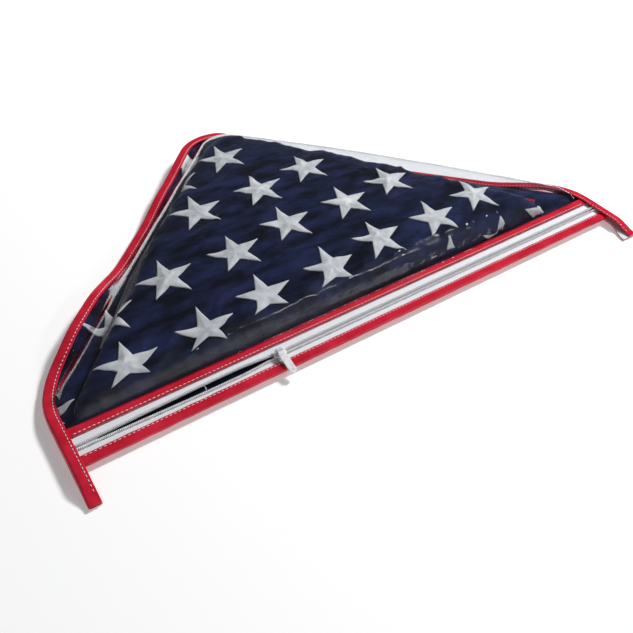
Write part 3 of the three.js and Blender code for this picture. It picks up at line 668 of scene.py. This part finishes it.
def landing(flat):
    """Where a point of the flat cloth lands: past the crest it runs down the front face."""
    past = FRONT + CREST - flat.y
    return Vector((flat.x, flat.y if past < 0 else FRONT + CREST - FACE_DRAW * past))


def star_place(column, row):
    """Middle of the star in that half-step column and half-step row of the star field."""
    centre = STAR_ORIGIN + column / 2 * STAR_PITCH * ALONG_ROW + row / 2 * STAR_ROW_PITCH * DOWN_COLUMN
    return centre + (row % 2) * ODD_ROW_SHIFT


def face_up(bm):
    """Turns an open sheet's faces upward."""
    bmesh.ops.recalc_face_normals(bm, faces=bm.faces)
    if sum(f.normal.z for f in bm.faces) < 0:
        bmesh.ops.reverse_faces(bm, faces=bm.faces)


def star(name, centre, surface, stands_for=()):
    """A star sewn to the cloth of surface, with its middle over centre."""
    random.seed(name)
    bm = bmesh.new()
    bmesh.ops.create_circle(bm, cap_ends=True, segments=10, radius=STAR_RADIUS)
    for k, v in enumerate(sorted(bm.verts, key=lambda v: math.atan2(v.co.y, v.co.x))):
        angle = math.atan2(v.co.y, v.co.x)
        reach = STAR_RADIUS * (STAR_WAIST if k % 2 else 1) * random.uniform(0.97, 1.03)
        v.co = Vector((math.cos(angle), math.sin(angle), 0)) * reach
    bmesh.ops.poke(bm, faces=bm.faces[:])
    bmesh.ops.subdivide_edges(bm, edges=bm.edges[:], cuts=7, use_grid_fill=True)
    longest = max(bm.verts, key=lambda v: v.co.length).co
    spin = TIP_HEADING - math.atan2(longest.y, longest.x)
    bmesh.ops.rotate(bm, verts=bm.verts, cent=(0, 0, 0), matrix=Matrix.Rotation(spin, 3, "Z"))
    for v in bm.verts:
        off_notch = abs((math.atan2(v.co.y, v.co.x) - TIP_HEADING) % FIFTH - FIFTH / 2)
        off_tip = FIFTH / 2 - off_notch
        local = Vector((math.cos(off_tip), math.sin(off_tip))) * v.co.length - TIP
        inside = abs(local.x * TIP_TO_NOTCH.y - local.y * TIP_TO_NOTCH.x) / CENTRE_TO_EDGE
        rise = (STAR_RIM + (1 - STAR_RIM) * min(inside, 1)) * STAR_RISE
        spot = landing(centre + v.co.xy)
        v.co = Vector((spot.x, spot.y, drop(surface, spot.x, spot.y, -1) + rise))
    stray = [v for v in bm.verts if v.co.z < CLOTH_FLOOR]
    bmesh.ops.delete(bm, geom=stray, context="VERTS")
    bmesh.ops.smooth_vert(bm, verts=bm.verts, factor=0.5, use_axis_z=True)
    face_up(bm)
    finish_piece(name, bm, star_thread, stands_for, wall=1.1 * mm, offset=-0.6)


STAR_COLUMNS = [[0, 2, 4, 6], [1, 3, 5], [0, 2, 4], [1, 3], [0, 2], [1], [0]]
for row, columns in enumerate(STAR_COLUMNS):
    for n, column in enumerate(columns):
        node = f"flag_star_{row + 1}_{n + 1}"
        star(f"satin_star_{row + 1}_{n + 1}", star_place(column, row), navy_surface, [node])
EDGE_STARS = [(8, 0), (7, 1), (6, 2), (-1, 1), (-1, 5)]  # (column, row) of stars cut by the flag's edges
for column, row in EDGE_STARS:
    star(f"edge_star_{row + 1}_{column + 2}", star_place(column, row), navy_surface)
MARGIN_STARS = [(-241, 130), (-332, 60), (-54, 340)]  # (x, y) mm: stars of the layer below, half hidden
for n, (x, y) in enumerate(MARGIN_STARS):
    star(f"margin_star_{n + 1}", Vector((x * mm, FRONT + y * mm)), margin_surface)

# ---- Top sheet -------------------------------------------
# Clear vinyl drawn over the flag, puckered where its front edge is sewn under the upper binding.

TOP_STARTS = 35 * mm  # from the front edge
bm = flat_cloth(2.4 * mm, SHEET_INSET, FRONT + TOP_STARTS)
top_area = sum(face.calc_area() for face in bm.faces)
for v in bm.verts:
    v.co.z = drop(top_surface, v.co.x, v.co.y, 10 * mm) - 0.3 * mm
for _ in range(8):
    bmesh.ops.smooth_vert(bm, verts=bm.verts, factor=0.5, use_axis_z=True)
BINDING_FRONT = FRONT + 41 * mm
for v in bm.verts:
    away = max(v.co.y - BINDING_FRONT, 0)
    pleat = crumple(Vector((v.co.x + 0.25 * away, away / 4, 0)), 8 * mm, 1)
    fine_pleat = crumple(Vector((v.co.x - 0.3 * away, away / 3, 0)), 4 * mm, 5)
    near = math.exp(-away / (18 * mm)) * min(away / (2 * mm), 1)
    swell = noise.noise(v.co / (60 * mm))
    v.co.z += (1.2 * pleat + 0.6 * fine_pleat - 0.4) * near * mm
    v.co.z += 0.5 * swell * min(away / (30 * mm), 1) * mm
top_sheet = finish_piece("top_vinyl", bm, clear_pvc, ["top_panel"], wall=PANEL_WALL)

# ---- Red bindings ----------------------------------------
# PVC-coated fabric tape, folded over each raw edge and sewn down with one row of white lockstitch.

# Embossed PVC binding: bright red, semi-gloss, with a fine pebble grain and a cloudy tone that varies at
# random.
red_pvc, tree, spot = new_material("red_pvc_binding")
pebble = add(tree, "TexVoronoi", {"Vector": spot, "Scale": 1 / (1.1 * mm)})
cloudy = add(tree, "TexNoise", {"Vector": spot, "Scale": 1 / (16 * mm), "Detail": 3})
colour = mottle_and_painted_shade(tree, cloudy, 0.3, 0.7, "C0182E", "DA2640")
grain = add(tree, "Bump", {"Height": pebble.outputs["Distance"], "Distance": 0.12 * mm, "Strength": 0.5})
dents = add(tree, "Bump", {"Height": cloudy, "Normal": grain, "Distance": 0.9 * mm, "Strength": 0.4})
coat = {"Coat Weight": 0.3, "Coat Roughness": 0.25}
vinyl = add(tree, "BsdfPrincipled", {"Base Color": colour, "Roughness": 0.38, "Normal": dents, **coat})
add(tree, "OutputMaterial", {0: vinyl})

# Spun polyester thread: matt white, with the twist of its plies.
white_thread, tree, spot = new_material("polyester_sewing_thread")
twist = add(tree, "TexNoise", {"Vector": spot, "Scale": 1 / (0.5 * mm), "Detail": 1})
fuzz = add(tree, "Bump", {"Height": twist, "Distance": 0.12 * mm, "Strength": 0.7})
thread = add(tree, "BsdfPrincipled", {"Base Color": srgb("E9E6E4"), "Roughness": 0.8, "Normal": fuzz})
add(tree, "OutputMaterial", {0: thread})

BINDING_WIDTH = 11 * mm
FOLD_DEPTH = 2 * mm
STITCH_INSET = 8.6 * mm
STITCH_PITCH = 4.2 * mm
STITCH_LENGTH = 3.2 * mm
STITCH_SINK = 0.05 * mm  # how deep a stitch's middle lies in the tape
TAPE_LEAF = 0.36  # share of a tape's width in each leaf; the fold between them has the rest


def fold_point(around, half, lower, upper):
    """Across a folded tape: distance in from its edge and height off mid fold, for around from 0 to 1."""
    if around < TAPE_LEAF:
        return lower + (FOLD_DEPTH - lower) * around / TAPE_LEAF, -half
    if around > 1 - TAPE_LEAF:
        return FOLD_DEPTH + (upper - FOLD_DEPTH) * (around - (1 - TAPE_LEAF)) / TAPE_LEAF, half
    turn = math.pi * (around - 0.5) / (1 - 2 * TAPE_LEAF)
    return FOLD_DEPTH * (1 - math.cos(turn)), half * math.sin(turn)


def stitch_dip(way, inset, row):
    """How far a sewn tape sinks near its stitch row, deepest at each needle hole."""
    off = (inset - row) / (1.3 * mm)
    hole = 0.5 + 0.5 * math.cos(2 * math.pi * way / STITCH_PITCH)
    return 0.32 * mm * math.exp(-off * off) * (0.4 + 0.6 * hole)


def folded_tape(length, place_at, half_at, lower_at, upper, cuts, row):
    """A tape folded over an edge; place_at gives the edge's point, inward direction and mid height."""
    bm = grid(cuts, 22)
    for v in bm.verts:
        way, around = (v.co.x + 0.5) * length, v.co.y + 0.5
        point, inward, height = place_at(way)
        inset, off = fold_point(around, half_at(way), lower_at(way), upper)
        if around > 1 - TAPE_LEAF:
            off -= stitch_dip(way, inset, row)
        ripple = 0.25 * mm * noise.noise(Vector((way / (14 * mm), around * 3, 2)))
        spot = point + inward * (inset + ripple)
        v.co = Vector((spot.x, spot.y, height + off + ripple))
    bmesh.ops.reverse_faces(bm, faces=bm.faces)
    return bm


def stitch_row(name, length, place_at, node, margin=6 * mm):
    """A row of lockstitches, each a short thread whose ends dive into the tape."""
    bm = bmesh.new()
    shape = Matrix.Diagonal((STITCH_LENGTH / 2, 0.4 * mm, 0.36 * mm, 1))
    for k in range(int((length - 2 * margin) / STITCH_PITCH)):
        point, direction, height = place_at(margin + (k + 0.5) * STITCH_PITCH)
        along = Matrix.Rotation(math.atan2(direction.y, direction.x), 4, "Z")
        place = Matrix.Translation((point.x, point.y, height)) @ along @ shape
        bmesh.ops.create_uvsphere(bm, u_segments=6, v_segments=5, radius=1, matrix=place)
    finish_piece(name, bm, white_thread, [node])


def edge_place(way):
    point, heading = case_edge(way)
    inward = Vector((-math.sin(heading), math.cos(heading)))
    return point, inward, seam_height(point.x, point.y)


def edge_half(way):
    return through(FOLD_HALF, case_edge(way)[0].y)


SPLAY = 10 * mm  # the right tail's lower leg lies open on the table


def edge_lower(way):
    point = case_edge(way)[0]
    open_tail = eased(FRONT - point.y, 6 * mm, TAIL) if point.x > 0 else 0
    return BINDING_WIDTH + SPLAY * open_tail


bm = folded_tape(EDGE_LENGTH, edge_place, edge_half, edge_lower, BINDING_WIDTH, 900, STITCH_INSET)
finish_piece("side_red_binding", bm, red_pvc, ["side_binding"], wall=BINDING_WALL, offset=0)


def edge_stitch(way):
    point, inward, middle = edge_place(way)
    top = middle + edge_half(way) + BINDING_WALL / 2
    return point + inward * STITCH_INSET, Vector((inward.y, -inward.x)), top - STITCH_SINK


stitch_row("side_stitches", EDGE_LENGTH, edge_stitch, "side_stitching")

# The tape's woven back, bare where the right tail's lower leg lies open.
woven_back, tree, spot = new_material("woven_tape_backing")
threads = add(tree, "TexNoise", {"Vector": spot, "Scale": 1 / (0.8 * mm), "Detail": 1})
nap = add(tree, "Bump", {"Height": threads, "Distance": 0.15 * mm, "Strength": 0.6})
back = add(tree, "BsdfPrincipled", {"Base Color": srgb("DCDDDF"), "Roughness": 0.9, "Normal": nap})
add(tree, "OutputMaterial", {0: back})

bm = grid(60, 12)
for v in bm.verts:
    way = (v.co.x + 0.5) * (TAIL + 4 * mm)
    point, inward, middle = edge_place(way)
    reach = FOLD_DEPTH + (edge_lower(way) - FOLD_DEPTH) * (v.co.y + 0.5)
    spot = point + inward * reach
    ripple = 0.2 * mm * noise.noise(Vector((way / (14 * mm), reach / (9 * mm), 4)))
    v.co = Vector((spot.x, spot.y, middle - edge_half(way) + BINDING_WALL / 2 + 0.5 * mm + ripple))
face_up(bm)
finish_piece("right_tail_backing", bm, woven_back, wall=0.3 * mm)

# The front strip's two bindings: one folded over the bottom sheet's edge, one flat over the top sheet's.
STRIP_HALF = HALF_EDGE - 5 * mm
STRIP_LENGTH = 2 * STRIP_HALF
LOWER_WIDTH = 10 * mm
LOWER_MID = 5.25 * mm
LOWER_HALF = 1.85 * mm
LOWER_ROW = 8.4 * mm


def lower_place(way):
    return Vector((-STRIP_HALF + way, FRONT)), Vector((0, 1)), LOWER_MID



def lower_half(_):
    return LOWER_HALF


def lower_width(_):
    return LOWER_WIDTH


def straight_row(y, height):
    """Places for a row of stitches that runs along X."""
    return lambda way: (Vector((-STRIP_HALF + way, y)), Vector((1, 0)), height)


bm = folded_tape(STRIP_LENGTH, lower_place, lower_half, lower_width, LOWER_WIDTH, 500, LOWER_ROW)
finish_piece("lower_red_binding", bm, red_pvc, ["lower_front_binding"], BINDING_WALL, offset=0)
row = straight_row(FRONT + LOWER_ROW, LOWER_MID + LOWER_HALF + BINDING_WALL / 2 - STITCH_SINK)
stitch_row("lower_stitches", STRIP_LENGTH, row, "lower_front_stitching", margin=8 * mm)

UPPER_LOW, UPPER_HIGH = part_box("upper_front_binding")
UPPER_ROW = 1.6 * mm
ARCH = 0.35 * mm  # the flat strip's middle stands this much over its edges
bm = grid(500, 12)
for v in bm.verts:
    way, across = (v.co.x + 0.5) * STRIP_LENGTH, v.co.y + 0.5
    inset = across * (UPPER_HIGH.y - UPPER_LOW.y)
    arch = ARCH * (1 - (2 * across - 1) ** 6)
    ripple = 0.2 * mm * noise.noise(Vector((way / (16 * mm), across, 8)))
    height = UPPER_HIGH.z - ARCH + arch + ripple - stitch_dip(way, inset, UPPER_ROW)
    v.co = Vector((-STRIP_HALF + way, UPPER_LOW.y + inset + ripple, height))
finish_piece("upper_red_binding", bm, red_pvc, ["upper_front_binding"], wall=0.9 * mm)
row = straight_row(UPPER_LOW.y + UPPER_ROW, UPPER_HIGH.z + STITCH_SINK)
stitch_row("upper_stitches", STRIP_LENGTH, row, "upper_front_stitching", margin=8 * mm)

# ---- Zip -------------------------------------------------
# A white coil zip: two woven tapes, each with a nylon spiral sewn along its edge. It is open to the left of
# the slider, where the two tapes part.

SLIDER_LOW, SLIDER_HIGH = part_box("slider_body")
SLIDER_X = (SLIDER_LOW.x + SLIDER_HIGH.x) / 2
ZIP_Y = (SLIDER_LOW.y + SLIDER_HIGH.y) / 2
TAPE_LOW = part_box("upper_zip_tape")[0].z
TAPE_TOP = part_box("upper_zip_tape")[1].z
RUNNING_GAP = 1.4 * mm
MOUTH_HALF = 2.6 * mm


def mouth(x):
    """How far each half of the zip stands off its centre line."""
    opening = eased(-x, -SLIDER_X - 4 * mm, -SLIDER_X + 45 * mm)
    closing = 1 - eased(-x, -SLIDER_X + 60 * mm, STRIP_HALF - 3 * mm)
    return RUNNING_GAP / 2 + MOUTH_HALF * opening * closing


# Twill-woven polyester tape: cool white, matt, with ribs across its width.
tape_weave, tree, spot = new_material("woven_polyester_tape")
RIB_PITCH = 1.2 * mm
YARN_PITCH = 1.5 * mm
rib_lines = {"Vector": spot, "Scale": WAVE_PITCH / RIB_PITCH, "Distortion": 0.6}
ribs = add(tree, "TexWave", rib_lines, bands_direction="X")
yarn_lines = {"Vector": spot, "Scale": WAVE_PITCH / YARN_PITCH, "Distortion": 0.4}
yarns = add(tree, "TexWave", yarn_lines, bands_direction="Y")
both = add(tree, "Math", {0: ribs.outputs["Fac"], 1: yarns.outputs["Fac"]}, operation="ADD")
colour = mottle_and_painted_shade(tree, both, 0, 2, "DDDFE6", "F6F7FA")
weave = add(tree, "Bump", {"Height": both, "Distance": 0.1 * mm, "Strength": 0.5})
tape = add(tree, "BsdfPrincipled", {"Base Color": colour, "Roughness": 0.85, "Normal": weave})
add(tree, "OutputMaterial", {0: tape})

# Drawn nylon filament, heat-set: glossy, milky and slightly see-through.
nylon_filament, tree, spot = new_material("nylon_filament")
haze = add(tree, "TexNoise", {"Vector": spot, "Scale": 1 / (3 * mm)})
rough = add(tree, "MapRange", {0: haze, 3: 0.25, 4: 0.4})
milky = {"Subsurface Weight": 0.15, "Subsurface Scale": 1 * mm}
nylon = add(tree, "BsdfPrincipled", {"Base Color": srgb("F0F1F4"), "Roughness": rough, **milky})
add(tree, "OutputMaterial", {0: nylon})

TAPE_EDGES = ((1, "upper", FRONT + 39 * mm), (-1, "lower", FRONT + 2.5 * mm))  # (side, name, outer edge's y)
TAPE_WALL = TAPE_TOP - TAPE_LOW - 0.1 * mm
for side, name, outer_y in TAPE_EDGES:
    bm = grid(400, 10)
    for v in bm.verts:
        x = v.co.x * STRIP_LENGTH
        across = v.co.y + 0.5 if side > 0 else 0.5 - v.co.y
        inner = ZIP_Y + side * (mouth(x) + 0.5 * mm)
        sway = noise.noise(Vector((x / (30 * mm), side, 0)))
        lip = 0.5 * mm * (mouth(x) - RUNNING_GAP / 2) / MOUTH_HALF * (1 - across) ** 3
        v.co = Vector((x, inner + (outer_y - inner) * across, TAPE_TOP + 0.12 * mm * sway + lip))
    finish_piece(f"{name}_tape", bm, tape_weave, [f"{name}_zip_tape"], TAPE_WALL)

COIL_LOW, COIL_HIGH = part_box("upper_zip_coil")
COIL_PITCH = 1.6 * mm
COIL_WIDTH = 2.8 * mm
WIRE = 0.5 * mm
TURN_STEPS = 10


def wire(points, radius, sides=0):
    """A round rod through points, with closed ends."""
    line = bpy.data.curves.new("rod", "CURVE")
    line.dimensions = "3D"
    line.bevel_depth = radius
    line.bevel_resolution = sides
    line.use_fill_caps = True
    spline = line.splines.new("POLY")
    spline.points.add(len(points) - 1)
    for spot, point in zip(spline.points, points):
        spot.co = (*point, 1)
    holder = bpy.data.objects.new("rod", line)
    bpy.context.scene.collection.objects.link(holder)
    shaped = holder.evaluated_get(bpy.context.evaluated_depsgraph_get())
    bm = bmesh.new()
    bm.from_mesh(shaped.to_mesh())
    shaped.to_mesh_clear()
    bpy.data.objects.remove(holder)
    return bm


COIL_MIDDLE = (COIL_LOW.z + COIL_HIGH.z) / 2
COIL_RISE = (COIL_HIGH.z - COIL_LOW.z) / 2 - WIRE
for side, name in ((1, "upper"), (-1, "lower")):
    steps = int(STRIP_LENGTH / COIL_PITCH) * TURN_STEPS
    spiral = []
    for k in range(steps):
        angle = 2 * math.pi * k / TURN_STEPS
        x = -STRIP_HALF + STRIP_LENGTH * k / steps
        middle = mouth(x) + COIL_WIDTH / 2
        y = ZIP_Y + side * (middle + (COIL_WIDTH / 2 - WIRE) * math.cos(angle))
        spiral.append((x, y, COIL_MIDDLE + COIL_RISE * math.sin(angle)))
    finish_piece(f"{name}_coil", wire(spiral, WIRE), nylon_filament, [f"{name}_zip_coil"])

# A loose end of sewing thread stands in the open mouth.
THREAD_X = SLIDER_X - 78 * mm
THREAD_BENDS = [(0, -3.5, 0), (0.6, -1.5, 1.2), (0.2, 1.5, 0.8)]  # mm from its foot on the zip's middle line
loose = [(THREAD_X + x * mm, ZIP_Y + y * mm, COIL_HIGH.z + z * mm) for x, y, z in THREAD_BENDS]
finish_piece("loose_thread_end", wire(loose, 0.3 * mm, 1), white_thread)

# ---- Slider and pull tab ---------------------------------
# Die-cast zinc under white enamel. Two plates joined by a post run along the coils; the tab swings on the
# bridge above the upper plate.

# White enamel: nearly pure white, glossy, greyer where handling has worn it.
white_enamel, tree, spot = new_material("white_enamelled_zinc")
wear = add(tree, "TexNoise", {"Vector": spot, "Scale": 1 / (4 * mm), "Detail": 4})
colour = mottle_and_painted_shade(tree, wear, 0.3, 0.6, "DADCE1", "F4F5F6")
skin = add(tree, "Bump", {"Height": wear, "Distance": 0.2 * mm, "Strength": 0.4})
gloss = {"Base Color": colour, "Roughness": 0.35, "Coat Weight": 0.4, "Coat Roughness": 0.15}
enamel = add(tree, "BsdfPrincipled", {**gloss, "Normal": skin})
add(tree, "OutputMaterial", {0: enamel})

CORNERS = 12  # points round each quarter of a rounded outline


def rounded_outline(half_x, half_y, radius):
    """(x, y) points round a rectangle with round corners, starting at the middle of its +X end."""
    points = []
    for quarter in range(4):
        for k in range(CORNERS):
            angle = math.pi / 2 * (quarter + k / (CORNERS - 1))
            cx = (half_x - radius) * (1 if quarter in (0, 3) else -1)
            cy = (half_y - radius) * (1 if quarter in (0, 1) else -1)
            points.append((cx + radius * math.cos(angle), cy + radius * math.sin(angle)))
    return points


def rim_bevel(bm, width, sharp=0.9):
    """Rounds every edge that turns by more than sharp radians."""
    edges = [e for e in bm.edges if len(e.link_faces) == 2 and e.calc_face_angle() > sharp]
    bmesh.ops.bevel(bm, geom=edges, offset=width, segments=3, profile=0.5, affect="EDGES", material=-1)


def plate(bm, outline, bottom, top):
    """Adds a flat plate with that outline and softly rounded edges."""
    part = bmesh.new()
    ring = bmesh.ops.create_circle(part, cap_ends=True, segments=len(outline), radius=1)["verts"]
    ring.sort(key=lambda v: math.atan2(v.co.y, v.co.x) % (2 * math.pi))
    for v, (x, y) in zip(ring, outline):
        v.co = Vector((x, y, bottom))
    for v in raise_faces(part):
        v.co.z = top
    bmesh.ops.remove_doubles(part, verts=part.verts, dist=1e-6)
    bmesh.ops.recalc_face_normals(part, faces=part.faces)
    rim_bevel(part, min(0.35 * mm, (top - bottom) * 0.3))
    merge(bm, part)


def merge(bm, part):
    """Moves part's faces into bm."""
    carried = bpy.data.meshes.new("carried")
    part.to_mesh(carried)
    part.free()
    bm.from_mesh(carried)
    bpy.data.meshes.remove(carried)


SLIDER_HALF = (SLIDER_HIGH.x - SLIDER_LOW.x) / 2
SLIDER_SIDE = (SLIDER_HIGH.y - SLIDER_LOW.y) / 2
UNDER_PLATE = (3.9 * mm, 5.0 * mm)
OVER_PLATE = (8.8 * mm, 10.2 * mm)
BAR_LEVEL = 13.1 * mm
BAR_RADIUS = 0.85 * mm
BAR_REACH = 4 * mm
BAR_BEND = 1 * mm
POST_INSET = 2.7 * mm
FLANGE_LOW = 6.4 * mm  # the upper plate's flanges stop short of the tape
FLANGE_Y = 4.55 * mm
SUNK = 0.3 * mm  # how far joined pieces of the casting run into each other

bm = bmesh.new()
plate(bm, rounded_outline(SLIDER_HALF, SLIDER_SIDE, 3 * mm), *UNDER_PLATE)
plate(bm, rounded_outline(SLIDER_HALF, SLIDER_SIDE, 3 * mm), *OVER_PLATE)
post = [(x - SLIDER_HALF + POST_INSET, y) for x, y in rounded_outline(1.3 * mm, 0.45 * mm, 0.4 * mm)]
plate(bm, post, UNDER_PLATE[1] - SUNK, OVER_PLATE[0] + SUNK)
for side in (-1, 1):
    flange = [(x, y + side * FLANGE_Y) for x, y in rounded_outline(3.4 * mm, 0.4 * mm, 0.35 * mm)]
    plate(bm, flange, FLANGE_LOW, OVER_PLATE[0] + SUNK)
arch = [(-BAR_REACH, 0, OVER_PLATE[1] - 0.4 * mm)]
for k in range(9):
    angle = math.pi / 2 * k / 8
    along, under = (1 - math.cos(angle)) * BAR_BEND, (1 - math.sin(angle)) * BAR_BEND
    arch.append((-BAR_REACH + along, 0, BAR_LEVEL - under))
arch += [(-x, y, z) for x, y, z in reversed(arch)]
merge(bm, wire(arch, BAR_RADIUS, 3))
bmesh.ops.translate(bm, verts=bm.verts, vec=(SLIDER_X, ZIP_Y, 0))
finish_piece("enamelled_slider", bm, white_enamel, ["slider_body"], body="slider")

TAB_LENGTH = 28 * mm
TAB_HALF = 3.75 * mm
TAB_THICKNESS = 1.3 * mm
TAB_DROOP = math.radians(12)
EYE_INNER = 1.2 * mm
EYE_OUTER = 2.1 * mm
EYE_HALF = 2.9 * mm
HOLE = 1.1 * mm
BLADE_TOP = EYE_INNER + 0.4 * mm  # below the bar's middle
SQUARED = 2.4 * mm  # length of the blade's top end that is squared off to meet the eye

bm = bmesh.new()
outer = bmesh.ops.create_circle(bm, segments=4 * CORNERS, radius=1)["verts"]
outer.sort(key=lambda v: math.atan2(v.co.y, v.co.x) % (2 * math.pi))
half_length = (TAB_LENGTH - BLADE_TOP) / 2
for v, (x, y) in zip(outer, rounded_outline(TAB_HALF, half_length, TAB_HALF - 0.05 * mm)):
    squared = eased(y, half_length - SQUARED, half_length)
    if squared > 0:
        x *= 1 - 0.2 * eased(y, half_length - 5 * mm, half_length)
        x += math.copysign(TAB_HALF * 0.55 * squared, x)
        x = max(min(x, EYE_HALF), -EYE_HALF)
    v.co = Vector((x, y - BLADE_TOP - half_length, 0))
inner = bmesh.ops.create_circle(bm, segments=4 * CORNERS, radius=HOLE)["verts"]
for v in inner:
    v.co.y += TAB_HALF - TAB_LENGTH
bmesh.ops.bridge_loops(bm, edges=bm.edges[:])
raised = raise_faces(bm)
for v in bm.verts:
    v.co.z = -TAB_THICKNESS / 2
for v in raised:
    v.co.z = TAB_THICKNESS / 2
bmesh.ops.recalc_face_normals(bm, faces=bm.faces)
rim_bevel(bm, 0.3 * mm)

eye = bmesh.new()
square = bmesh.ops.create_grid(eye, x_segments=1, y_segments=1, size=1)["verts"]
for v in square:
    radius = EYE_OUTER if v.co.y > 0 else EYE_INNER
    v.co = Vector((math.copysign(EYE_HALF, v.co.x), radius, 0))
section = eye.faces[:] + eye.edges[:] + eye.verts[:]
turn = {"axis": (1, 0, 0), "cent": (0, 0, 0), "angle": 2 * math.pi, "steps": 32, "use_merge": True}
bmesh.ops.spin(eye, geom=section, **turn)
inside = [f for f in eye.faces if all(abs(v.co.z) < 1e-7 and v.co.y > 0 for v in f.verts)]
bmesh.ops.delete(eye, geom=inside, context="FACES_ONLY")
bmesh.ops.recalc_face_normals(eye, faces=eye.faces)
rim_bevel(eye, 0.25 * mm)
merge(bm, eye)
bmesh.ops.rotate(bm, verts=bm.verts, cent=(0, 0, 0), matrix=Matrix.Rotation(TAB_DROOP, 3, "X"))
bmesh.ops.translate(bm, verts=bm.verts, vec=(SLIDER_X, ZIP_Y, BAR_LEVEL))
finish_piece("enamelled_tab", bm, white_enamel, ["pull_tab"], body="pull_tab")
